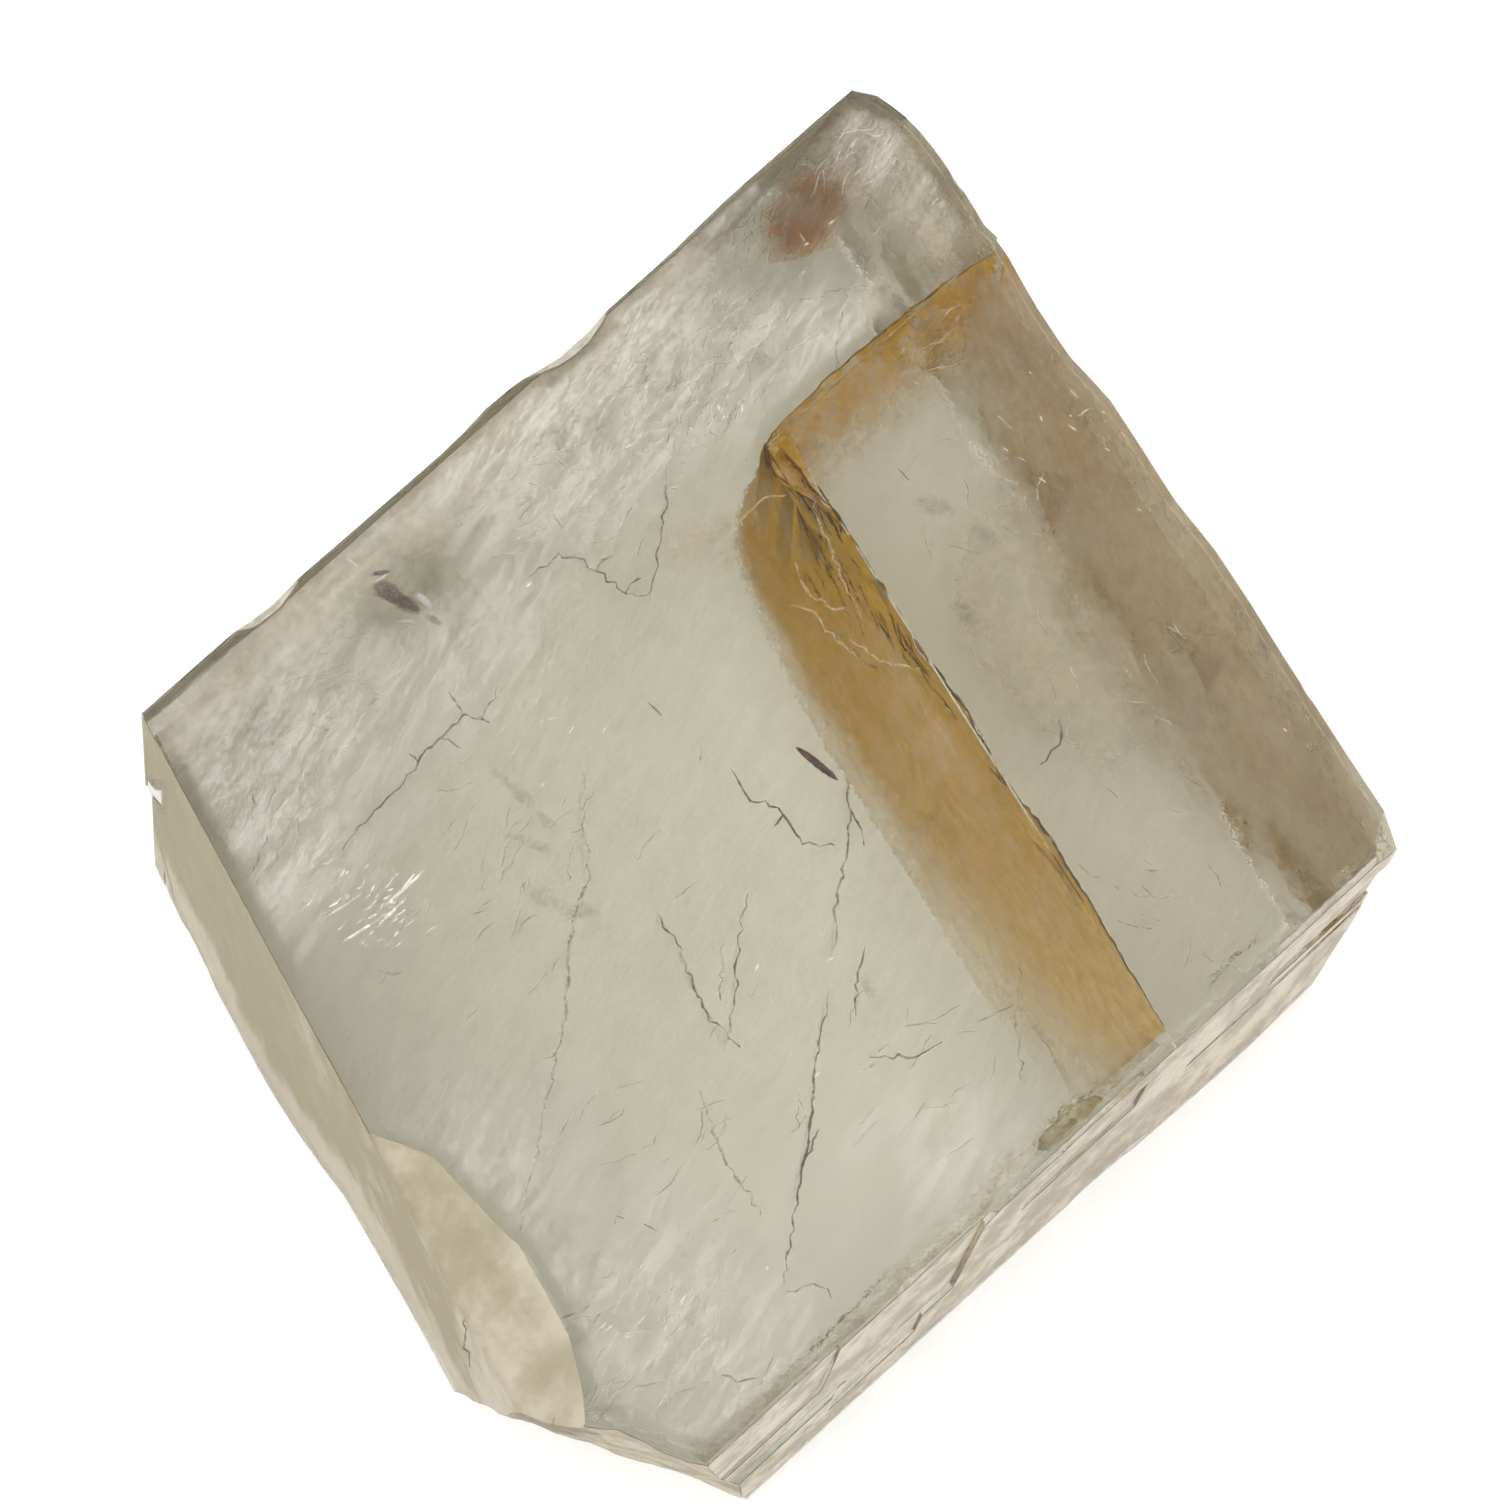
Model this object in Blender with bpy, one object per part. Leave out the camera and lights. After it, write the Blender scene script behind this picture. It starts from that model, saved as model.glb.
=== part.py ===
"""Iceland spar: one clear cleavage fragment of calcite, lying on its back cleavage face.

Places inside the crystal are given as (u, v, w) in metres, measured from the blunt left corner of the
top face: u runs along the back left edge, v along the front left edge, w down into the stone. These are
the crystal's own three cleavage edges, so a flat cleavage face is always one constant u, v or w.
World axes: +Z up, +X to the crystal's right corner, +Y to its far corner.
"""

import math
import random

import bmesh
import bpy
import numpy as np
from mathutils import Matrix, Vector

MM = 0.001

# The crystal's shape: every cleavage face of calcite has corners of about 102 and 78 degrees.
FACE_ANGLE = math.radians(101.92)
EDGE_U = 45.0 * MM
EDGE_V = 46.3 * MM
THICKNESS = 18.4 * MM
LEFT_CORNER = Vector((-25.475, -1.495, 18.4)) * MM

# Worn upright edges at the far, right and left corners, and the fine wear on every other edge.
FAR_CORNER_WEAR = 1.9 * MM
RIGHT_CORNER_WEAR = 1.1 * MM
LEFT_CORNER_WEAR = 0.7 * MM
EDGE_WEAR = 0.16 * MM

# Walls: how far each wall stands out from its ideal plane, as (place along the edge, stand-off) in mm.
# The right wall is shell-fractured, and the others are cleavage faces with a slow wave.
RIGHT_WALL_TOP = [(-2, -2.4), (0.2, -1.2), (0.9, -0.6), (2.3, -0.15), (3.6, 0.18), (5.5, 0.32),
                  (8.4, 0.34), (10.7, 0.2), (11.2, 0.5), (14.7, 0.22), (18, 0.18), (21, 0.6),
                  (24, 0.55), (27, 0.46), (30, 0.7), (33, 0.68), (36, 0.58), (41, 0.45), (49, 0.35)]
BACK_WALL_TOP = [(-2, 0.5), (5, 0.45), (9, 0.3), (16, 0.18), (19, 0.16), (21, 0.4), (22.5, 0.35),
                 (25, 0.02), (32, 0.0), (36, 0.2), (41, 0.15), (48, 0.0)]
LEFT_WALL_FOOT = [(-2, 0.1), (3, 0.3), (8, 0.43), (14, 0.42), (18, 0.1), (21, -0.35), (28, -0.55),
                  (36, -0.6), (49, -0.6)]
FRONT_WALL_FOOT = [(-2, 0.0), (20, 0.02), (30, 0.1), (36, 0.3), (40, 0.42), (44, 0.3), (48, 0.15)]
WALL_MARGIN = 0.8 * MM
WALL_OVERLAP = 2.0 * MM
BACK_WALL_WAVE = 0.12 * MM
CUTTER_REACH = 14.0 * MM

# Shell-like scallops of the right wall.
SCALLOPS = 26
SCALLOP_RADIUS = (3.0 * MM, 7.5 * MM)
SCALLOP_DEPTH = (0.12 * MM, 0.42 * MM)
SCALLOP_START = 3.0 * MM
SCALLOP_SEED = 11

# The lower-left corner is broken off: the break is one plane through these three points of the stone.
BREAK_TOP_RIGHT = (5.9 * MM, 45.8 * MM, 0.0)
BREAK_FOOT_RIGHT = (10.0 * MM, 46.0 * MM, 19.5 * MM)
BREAK_FOOT_LEFT = (0.3 * MM, 32.1 * MM, 19.5 * MM)
BREAK_SWELL = 0.9 * MM
BREAK_RIPPLE = 0.16 * MM

# A shallow slope between the top face and the left wall, next to the break. Its plane falls from a crest
# beside the edge, and rises out of the stone at both ends: (v, rise) in mm.
SLOPE_CREST_U = 3.15 * MM
SLOPE_DROP = 0.95 * MM
SLOPE_HOLLOW = 0.12 * MM
SLOPE_RISE = [(18, 1.9), (23.5, 0.9), (26.6, 0.4), (31.3, 0.14), (33, 0.0), (36.5, 0.0), (39.5, 0.2),
              (43, 0.6), (50, 1.7)]

# The block to the right of the L-shaped crack stands a little lower than the rest of the top face.
STEP_U = 32.25 * MM
STEP_V = 11.05 * MM
STEP_NOTCH_U = 31.2 * MM
STEP_NOTCH_V = 14.4 * MM
STEP_DROP = 0.30 * MM

# Ledges of the front wall, each a cleavage block split off: (u from, u to, v from, w from, w to) in mm.
FRONT_LEDGES = [(-2, 21.4, 46.02, -2, 11.4), (-2, 13.3, 45.84, -2, 8.0), (14.4, 19.6, 46.14, 9.6, 14.5),
                (21.4, 29.6, 46.32, -2, 5.2), (24.5, 31.2, 46.16, 2.6, 6.4), (34.6, 48, 46.34, -2, 8.4),
                (39.2, 48, 46.14, 3.4, 7.2)]
# Terraces of the back wall and the underside's rim, in mm: (u from, u to, v to, w from, w to).
BACK_TERRACES = [(-2, 17.5, 0.3, 9.5, 21), (17.4, 30.5, 0.1, 12.5, 21), (6.0, 12.0, 0.9, 14.5, 21),
                 (34.0, 39.5, 0.45, 7.0, 21)]

# Chips: shallow spoon-shaped bites, (u, v, w, radius, bite) in mm, on the rim that passes that place.
CHIPS = [
    (45.4, 46.3, 0.0, 5.5, 1.25), (45.5, 7.4, 0.0, 4.0, 0.26), (45.6, 16.2, 0.0, 6.4, 0.40),
    (45.6, 19.4, 0.0, 2.8, 0.24), (45.7, 25.6, 0.0, 4.6, 0.32), (45.8, 28.6, 0.0, 2.6, 0.22),
    (45.7, 34.6, 0.0, 3.8, 0.28), (45.6, 38.4, 0.0, 5.2, 0.38), (45.5, 43.0, 0.0, 3.0, 0.22),
    (45.3, 12.2, 19.4, 5.5, 0.60), (45.3, 30.5, 19.4, 7.0, 0.75), (36.8, 46.4, 0.0, 3.4, 0.22),
    (29.2, 46.4, 0.0, 4.2, 0.24), (25.4, 46.4, 0.0, 2.2, 0.18), (21.2, 46.3, 0.0, 1.5, 0.34),
    (17.3, 46.0, 0.0, 3.6, 0.22), (11.6, 45.9, 0.0, 3.0, 0.20), (24.0, -0.1, 0.0, 6.5, 0.20),
    (6.0, -0.4, 0.0, 5.0, 0.18), (-0.1, 28.6, 0.0, 3.0, 0.24), (27.0, 0.1, 19.4, 5.2, 0.50),
    (0.0, 5.8, 19.4, 4.0, 0.30), (33.0, 46.4, 19.4, 4.2, 0.28), (8.8, -0.2, 19.4, 4.6, 0.40),
]
CHIP_SUBDIVISIONS = 3

STONE_COLOUR = (0.66, 0.62, 0.52, 1.0)
STONE_ROUGHNESS = 0.08
STONE_IOR = 1.62


def crystal_edges():
    """Unit directions of the three cleavage edges that leave the blunt left corner."""
    half = FACE_ANGLE / 2
    along_u = Vector((math.cos(half), math.sin(half), 0))
    along_v = Vector((math.cos(half), -math.sin(half), 0))
    lean = -math.cos(FACE_ANGLE) / math.cos(half)
    along_w = Vector((-lean, 0, -math.sqrt(1 - lean * lean)))
    return along_u, along_v, along_w


ALONG_U, ALONG_V, ALONG_W = crystal_edges()
DEPTH_W = THICKNESS / -ALONG_W.z


def place(u, v, w):
    """World place of a point given along the crystal's edges."""
    return LEFT_CORNER + u * ALONG_U + v * ALONG_V + w * ALONG_W


def edge_matrix(first, second, third, start):
    """Matrix that takes (1,0,0), (0,1,0), (0,0,1) to three vectors laid out from a start."""
    columns = Matrix((first, second, third)).transposed()
    return Matrix.Translation(start) @ columns.to_4x4()


def new_object(name, bm, collection):
    bmesh.ops.recalc_face_normals(bm, faces=bm.faces)
    mesh = bpy.data.meshes.new(name)
    bm.to_mesh(mesh)
    bm.free()
    obj = bpy.data.objects.new(name, mesh)
    collection.objects.link(obj)
    return obj


def cleavage_block(low, high):
    """Bmesh block between two corners given as (u, v, w): a box sheared to the crystal's edges."""
    low, high = Vector(low), Vector(high)
    size = high - low
    bm = bmesh.new()
    bmesh.ops.create_cube(bm, size=1.0)
    bmesh.ops.translate(bm, verts=bm.verts, vec=(0.5, 0.5, 0.5))
    shear = edge_matrix(size.x * ALONG_U, size.y * ALONG_V, size.z * ALONG_W, place(*low))
    bmesh.ops.transform(bm, matrix=shear, verts=bm.verts)
    return bm


def as_cutter(obj):
    obj.hide_render = True
    obj.display_type = "WIRE"
    return obj


def carved_block(name, first, second, outward, start, cells, relief, collection):
    """Cutter whose near side is a grid over first x second, lifted outward by relief(s, t)."""
    bm = bmesh.new()
    bmesh.ops.create_grid(bm, x_segments=cells[0], y_segments=cells[1], size=0.5)
    for vert in bm.verts:
        s, t = vert.co.x + 0.5, vert.co.y + 0.5
        vert.co = Vector((s, t, relief(s * first.length, t * second.length)))
    far_side = bmesh.ops.extrude_face_region(bm, geom=bm.faces[:])
    lifted = [item for item in far_side["geom"] if isinstance(item, bmesh.types.BMVert)]
    for vert in lifted:
        vert.co.z = CUTTER_REACH
    frame = edge_matrix(first, second, outward.normalized(), start)
    bmesh.ops.transform(bm, matrix=frame, verts=bm.verts)
    return as_cutter(new_object(name, bm, collection))


def along(profile, distance):
    """Stand-off in metres at a distance along an edge, from (place, stand-off) pairs in mm."""
    places, offsets = zip(*profile)
    return float(np.interp(distance / MM, places, offsets)) * MM


def scallop_field():
    """Random shell-like hollows over the right wall: (v, w, radius, depth)."""
    chance = random.Random(SCALLOP_SEED)
    field = []
    for _ in range(SCALLOPS):
        field.append((chance.uniform(0.0, EDGE_V), chance.uniform(2.0 * MM, DEPTH_W),
                      chance.uniform(*SCALLOP_RADIUS), chance.uniform(*SCALLOP_DEPTH)))
    return field


def wall_cutter(name, run, outward, start, cells, relief, collection):
    """Cutter for one upright wall, run past the stone on all sides; relief(place along it, w)."""
    length = run.length + 2 * WALL_OVERLAP
    height = DEPTH_W + 2 * WALL_OVERLAP
    corner = start - WALL_OVERLAP * (run.normalized() + ALONG_W)

    def shifted(s, t):
        return relief(s - WALL_OVERLAP, t - WALL_OVERLAP)

    carved_block(name, length * run.normalized(), height * ALONG_W, outward, corner, cells, shifted,
                 collection)


def carve_right_wall(cutters):
    hollows = scallop_field()

    def relief(v, w):
        hollow = 0.0
        for centre_v, centre_w, radius, depth in hollows:
            away = math.hypot(v - centre_v, w - centre_w) / radius
            hollow = max(hollow, depth * (1 - away * away))
        into_stone = min(max(w / SCALLOP_START, 0.0), 1.0)
        return along(RIGHT_WALL_TOP, v) - hollow * into_stone

    wall_cutter("right_wall_cut", EDGE_V * ALONG_V, ALONG_U, place(EDGE_U, 0, 0), (50, 18), relief, cutters)


def carve_back_wall(cutters):
    def relief(u, w):
        wave = BACK_WALL_WAVE * math.sin(u / (5.2 * MM)) * min(max(w / DEPTH_W, 0.0), 1.0)
        return along(BACK_WALL_TOP, u) + wave

    wall_cutter("back_wall_cut", EDGE_U * ALONG_U, -ALONG_V, place(0, 0, 0), (34, 5), relief, cutters)


def carve_front_wall(cutters):
    def relief(u, w):
        return along(FRONT_WALL_FOOT, u) * min(max(w / DEPTH_W, 0.0), 1.1)

    wall_cutter("front_wall_cut", EDGE_U * ALONG_U, ALONG_V, place(0, EDGE_V, 0), (24, 5), relief, cutters)


def carve_left_wall(cutters):
    def relief(v, w):
        return along(LEFT_WALL_FOOT, v) * min(max(w / DEPTH_W, 0.0), 1.1)

    wall_cutter("left_wall_cut", EDGE_V * ALONG_V, -ALONG_U, place(0, 0, 0), (24, 5), relief, cutters)


def carve_break(cutters):
    """The broken corner: a plane with one slow swell and fine ripples."""
    top_right, foot_right = place(*BREAK_TOP_RIGHT), place(*BREAK_FOOT_RIGHT)
    foot_left = place(*BREAK_FOOT_LEFT)
    sideways = (foot_left - foot_right).normalized()
    outward = sideways.cross(top_right - foot_right).normalized()
    if outward.y > 0:
        outward = -outward
    upward = outward.cross(sideways)
    if upward.z < 0:
        upward = -upward
    width, height, margin = 34.0 * MM, 30.0 * MM, 8.0 * MM

    def relief(s, t):
        side = (s - margin) / (width - 2 * margin)
        lift = (t - 5.0 * MM) / (height - 10.0 * MM)
        swell = math.sin(math.pi * min(max(side, 0.0), 1.0)) * min(max(lift, 0.0), 1.0)
        ripple = math.sin(s / (0.9 * MM) + 2.2 * t / MM / 6.0) * math.sin(t / (1.7 * MM) + 0.6)
        return BREAK_SWELL * swell + BREAK_RIPPLE * ripple

    start = foot_right - margin * sideways - 5.0 * MM * upward
    carved_block("break_cut", width * sideways, height * upward, outward, start, (30, 22), relief, cutters)


def carve_slope(cutters):
    """The shallow hollow slope beside the break, from its crest on the top face to the left wall."""
    start_v, end_v = SLOPE_RISE[0][0] * MM, SLOPE_RISE[-1][0] * MM
    crest = place(SLOPE_CREST_U, start_v, 0)
    foot = place(0, start_v, SLOPE_DROP)
    downhill = 2.5 * (foot - crest)
    forward = (end_v - start_v) * ALONG_V
    outward = downhill.cross(forward)
    uphill = crest - 0.5 * downhill

    def relief(s, t):
        hollow = SLOPE_HOLLOW * math.sin(math.pi * min(t / downhill.length, 1.0))
        return along(SLOPE_RISE, start_v + s) - hollow

    carved_block("slope_cut", forward, 1.5 * downhill, outward, uphill, (30, 16), relief, cutters)


def carve_top_step(cutters):
    """The lower block right of the L-shaped crack, and the small notch at the bend of the L."""
    above, beyond = -2.0 * MM, 52.0 * MM
    boxes = [((STEP_U, STEP_V, above), (beyond, beyond, STEP_DROP)),
             ((STEP_NOTCH_U, STEP_V, above), (STEP_U + 0.1 * MM, STEP_NOTCH_V, STEP_DROP))]
    for number, (low, high) in enumerate(boxes):
        as_cutter(new_object("top_step_cut_%d" % number, cleavage_block(low, high), cutters))


def carve_ledges(cutters):
    beyond = 52.0
    for number, (u0, u1, v0, w0, w1) in enumerate(FRONT_LEDGES):
        bm = cleavage_block(Vector((u0, v0, w0)) * MM, Vector((u1, beyond, w1)) * MM)
        as_cutter(new_object("front_ledge_cut_%d" % number, bm, cutters))
    for number, (u0, u1, v1, w0, w1) in enumerate(BACK_TERRACES):
        bm = cleavage_block(Vector((u0, -5.0, w0)) * MM, Vector((u1, v1, w1)) * MM)
        as_cutter(new_object("back_terrace_cut_%d" % number, bm, cutters))


def rim_direction(u, v, w):
    """Direction out of the stone at a place on its rim, between the faces that meet there."""
    out = Vector((0, 0, 0))
    out += ALONG_W * (1 if w > DEPTH_W / 2 else -1)
    if u > 0.9 * EDGE_U:
        out += ALONG_U
    if u < 0.02 * EDGE_U:
        out -= ALONG_U
    if v > 0.95 * EDGE_V:
        out += ALONG_V
    if v < 0.02 * EDGE_V:
        out -= ALONG_V
    return out.normalized()


def carve_chips(cutters):
    for number, (u, v, w, radius, bite) in enumerate(CHIPS):
        rim = place(u * MM, v * MM, w * MM)
        centre = rim + rim_direction(u * MM, v * MM, w * MM) * (radius - bite) * MM
        bm = bmesh.new()
        bmesh.ops.create_icosphere(bm, subdivisions=CHIP_SUBDIVISIONS, radius=radius * MM)
        turn = Matrix.Rotation(0.7 * number, 4, Vector((1, 2, 3)).normalized())
        bmesh.ops.transform(bm, matrix=Matrix.Translation(centre) @ turn, verts=bm.verts)
        as_cutter(new_object("chip_cut_%02d" % number, bm, cutters))


def wear_edges(bm):
    """Rounds the upright edges at three corners, then takes the sharpness off every edge."""
    margin = WALL_MARGIN
    corners = [((EDGE_U + margin, -margin), FAR_CORNER_WEAR, 5),
               ((EDGE_U + margin, EDGE_V + margin), RIGHT_CORNER_WEAR, 3),
               ((-margin, -margin), LEFT_CORNER_WEAR, 3)]
    for (u, v), wear, segments in corners:
        top = place(u, v, 0.0)
        upright = [edge for edge in bm.edges
                   if all((vert.co - top).cross(ALONG_W).length < 1e-5 for vert in edge.verts)]
        bmesh.ops.bevel(bm, geom=upright, offset=wear, segments=segments, profile=0.5, affect="EDGES")
    sharp = [edge for edge in bm.edges if edge.calc_face_angle(0.0) > math.radians(30)]
    bmesh.ops.bevel(bm, geom=sharp, offset=EDGE_WEAR, segments=2, profile=0.5, affect="EDGES")


def stone_material():
    material = bpy.data.materials.new("calcite")
    material.use_nodes = True
    shader = material.node_tree.nodes["Principled BSDF"]
    shader.inputs["Base Color"].default_value = STONE_COLOUR
    shader.inputs["Roughness"].default_value = STONE_ROUGHNESS
    shader.inputs["Metallic"].default_value = 0.0
    shader.inputs["IOR"].default_value = STONE_IOR
    shader.inputs["Transmission Weight"].default_value = 0.6
    return material


def build():
    for old in list(bpy.data.objects):
        bpy.data.objects.remove(old, do_unlink=True)
    stone_parts = bpy.data.collections.new("iceland_spar_parts")
    cutters = bpy.data.collections.new("iceland_spar_cutters")
    bpy.context.scene.collection.children.link(stone_parts)
    bpy.context.scene.collection.children.link(cutters)

    block = cleavage_block((-WALL_MARGIN, -WALL_MARGIN, 0.0),
                           (EDGE_U + WALL_MARGIN, EDGE_V + WALL_MARGIN, DEPTH_W))
    wear_edges(block)
    stone = new_object("iceland_spar", block, stone_parts)
    stone.data.materials.append(stone_material())

    carve_right_wall(cutters)
    carve_back_wall(cutters)
    carve_front_wall(cutters)
    carve_left_wall(cutters)
    carve_break(cutters)
    carve_slope(cutters)
    carve_top_step(cutters)
    carve_ledges(cutters)
    carve_chips(cutters)

    fracture = stone.modifiers.new("fracture", "BOOLEAN")
    fracture.operation = "DIFFERENCE"
    fracture.operand_type = "COLLECTION"
    fracture.collection = cutters
    fracture.solver = "EXACT"


build()
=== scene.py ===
import math
import random

import bpy
from mathutils import Matrix, Vector


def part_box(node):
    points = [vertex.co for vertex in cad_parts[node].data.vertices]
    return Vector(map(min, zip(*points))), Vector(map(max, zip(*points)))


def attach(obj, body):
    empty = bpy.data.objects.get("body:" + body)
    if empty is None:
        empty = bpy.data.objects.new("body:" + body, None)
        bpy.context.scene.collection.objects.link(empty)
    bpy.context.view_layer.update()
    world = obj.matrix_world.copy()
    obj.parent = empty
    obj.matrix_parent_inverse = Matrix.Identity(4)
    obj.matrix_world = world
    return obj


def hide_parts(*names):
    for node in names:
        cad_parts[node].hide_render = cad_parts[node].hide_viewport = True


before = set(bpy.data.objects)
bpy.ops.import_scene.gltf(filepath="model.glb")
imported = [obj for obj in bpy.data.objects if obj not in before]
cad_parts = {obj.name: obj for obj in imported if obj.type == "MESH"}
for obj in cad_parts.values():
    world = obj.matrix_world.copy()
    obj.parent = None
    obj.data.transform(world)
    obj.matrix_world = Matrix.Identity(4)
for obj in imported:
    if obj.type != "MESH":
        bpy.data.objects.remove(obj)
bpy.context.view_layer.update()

MM = 0.001

# The stone's own directions: its three cleavage edges, from the blunt left corner of the top face.
FACE_ANGLE = math.radians(101.92)
HALF = FACE_ANGLE / 2
ALONG_U = Vector((math.cos(HALF), math.sin(HALF), 0))
ALONG_V = Vector((math.cos(HALF), -math.sin(HALF), 0))
LEAN = -math.cos(FACE_ANGLE) / math.cos(HALF)
ALONG_W = Vector((-LEAN, 0, -math.sqrt(1 - LEAN * LEAN)))
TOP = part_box("iceland_spar")[1].z
LEFT_CORNER = Vector((-25.475 * MM, -1.495 * MM, TOP))
EDGE_U = 45.0
EDGE_V = 46.3
THICKNESS = 18.4
DEPTH_W = THICKNESS / -ALONG_W.z
# Between calcite's two refractive indices.
CALCITE_IOR = 1.62

# The camera, and the photograph's frame, in which every pixel below is given.
PICTURE = 1501
FOCAL_PIXELS = 5040
# Roughly the width of a pixel on the top face.
PIXEL_MM = 0.046
CAMERA_PLACE = Vector((66.51, -77.66, 216.04)) * MM
CAMERA_AIM = Vector((3.12, -0.60, 18.40)) * MM
CAMERA_ROLL = math.radians(-31.83)


def camera_axes():
    """The camera's right, up and backward directions."""
    back = (CAMERA_PLACE - CAMERA_AIM).normalized()
    level = Vector((0, 0, 1)).cross(back).normalized()
    upright = back.cross(level)
    turn = Matrix.Rotation(CAMERA_ROLL, 3, back)
    return turn @ level, turn @ upright, back


RIGHT, UP, BACK = camera_axes()


def sight(px, py):
    """Direction of the line of sight through a pixel of the photograph."""
    across = (px - PICTURE / 2) / FOCAL_PIXELS
    down = (py - PICTURE / 2) / FOCAL_PIXELS
    return (across * RIGHT - down * UP - BACK).normalized()


def seen_at(px, py, depth=0.0):
    """Place at a depth in mm under the top face that shows at a pixel, with the bend of light there."""
    line = sight(px, py)
    hit = CAMERA_PLACE + line * ((TOP - CAMERA_PLACE.z) / line.z)
    sideways = Vector((line.x, line.y, 0)) / CALCITE_IOR
    inside = sideways + Vector((0, 0, -math.sqrt(1 - sideways.length_squared)))
    return hit + inside * (depth * MM / -inside.z)


def crystal_place(u, v, w):
    """Place at distances in mm along the three cleavage edges."""
    return LEFT_CORNER + (u * ALONG_U + v * ALONG_V + w * ALONG_W) * MM


def tone(red, green, blue):
    """Linear colour of a tone given in screen values from 0 to 255."""
    def linear(value):
        value /= 255
        return value / 12.92 if value <= 0.04045 else ((value + 0.055) / 1.055) ** 2.4
    return (linear(red), linear(green), linear(blue), 1.0)


def clamped(value):
    return min(1.0, max(0.0, value))


def only(obj):
    bpy.ops.object.select_all(action="DESELECT")
    obj.select_set(True)
    bpy.context.view_layer.objects.active = obj


def settle(obj):
    """Puts a finished piece's place into its mesh."""
    only(obj)
    bpy.ops.object.transform_apply(location=True, rotation=True, scale=True)


def join(name, parts):
    bpy.ops.object.select_all(action="DESELECT")
    for part in parts:
        part.select_set(True)
    bpy.context.view_layer.objects.active = parts[0]
    bpy.ops.object.join()
    parts[0].name = name
    return parts[0]


def finish_piece(obj, material):
    settle(obj)
    obj.data.materials.clear()
    obj.data.materials.append(material)
    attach(obj, "root")


# Materials

def add(tree, kind, inputs=None, **settings):
    """Adds a node, sets its properties, and fills or links its inputs."""
    node = tree.nodes.new(kind)
    for name, value in settings.items():
        setattr(node, name, value)
    for name, value in (inputs or {}).items():
        socket = node.inputs[name]
        if isinstance(value, bpy.types.NodeSocket):
            tree.links.new(value, socket)
        else:
            socket.default_value = value
    return node


def new_finish(name):
    material = bpy.data.materials.new(name)
    material.use_nodes = True
    tree = material.node_tree
    return material, tree, tree.nodes["Principled BSDF"]


def stone_coordinates(tree, scale=(1, 1, 1), turn=0.0):
    """Object coordinates, turned about the upright and stretched."""
    coordinates = tree.nodes.new("ShaderNodeTexCoord")
    turned = add(tree, "ShaderNodeMapping", {"Vector": coordinates.outputs["Object"],
                                             "Rotation": (0, 0, turn)})
    stretched = add(tree, "ShaderNodeMapping", {"Vector": turned.outputs[0], "Scale": scale})
    return stretched.outputs[0]


def noise(tree, vector, size, detail=4.0, roughness=0.55):
    """Noise whose blotches are about `size` mm across, from 0 to 1."""
    node = add(tree, "ShaderNodeTexNoise", {"Vector": vector, "Scale": 1 / (size * MM), "Detail": detail,
                                            "Roughness": roughness})
    return node.outputs["Fac"]


def remap(tree, value, low, high, to_low=0.0, to_high=1.0):
    node = add(tree, "ShaderNodeMapRange", {"Value": value, "From Min": low, "From Max": high,
                                            "To Min": to_low, "To Max": to_high})
    node.interpolation_type = "SMOOTHSTEP"
    return node.outputs["Result"]


def maths(tree, operation, first, second=0.0, clamp=False):
    node = add(tree, "ShaderNodeMath", {0: first, 1: second}, operation=operation, use_clamp=clamp)
    return node.outputs[0]


def mixed(tree, factor, first, second):
    node = add(tree, "ShaderNodeMix", {0: factor, 6: first, 7: second}, data_type="RGBA")
    return node.outputs[2]


def clear_calcite():
    """Clear crystal: plain transmission and absorption, with polish that varies over the faces."""
    material, tree, shader = new_finish("clear_calcite")
    vector = stone_coordinates(tree)
    worn = noise(tree, vector, 4.0, detail=3)
    shader.inputs["Base Color"].default_value = (1, 1, 1, 1)
    shader.inputs["IOR"].default_value = CALCITE_IOR
    shader.inputs["Transmission Weight"].default_value = 1.0
    tree.links.new(remap(tree, worn, 0.35, 0.75, 0.03, 0.12), shader.inputs["Roughness"])
    fine = noise(tree, vector, 0.9, detail=3, roughness=0.6)
    bump = add(tree, "ShaderNodeBump", {"Height": fine, "Strength": 0.10, "Distance": 0.25 * MM})
    tree.links.new(bump.outputs["Normal"], shader.inputs["Normal"])
    absorption = add(tree, "ShaderNodeVolumeAbsorption", {"Color": (0.86, 0.81, 0.48, 1), "Density": 18.0})
    output = tree.nodes["Material Output"]
    tree.links.new(absorption.outputs[0], output.inputs["Volume"])
    return material


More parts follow.
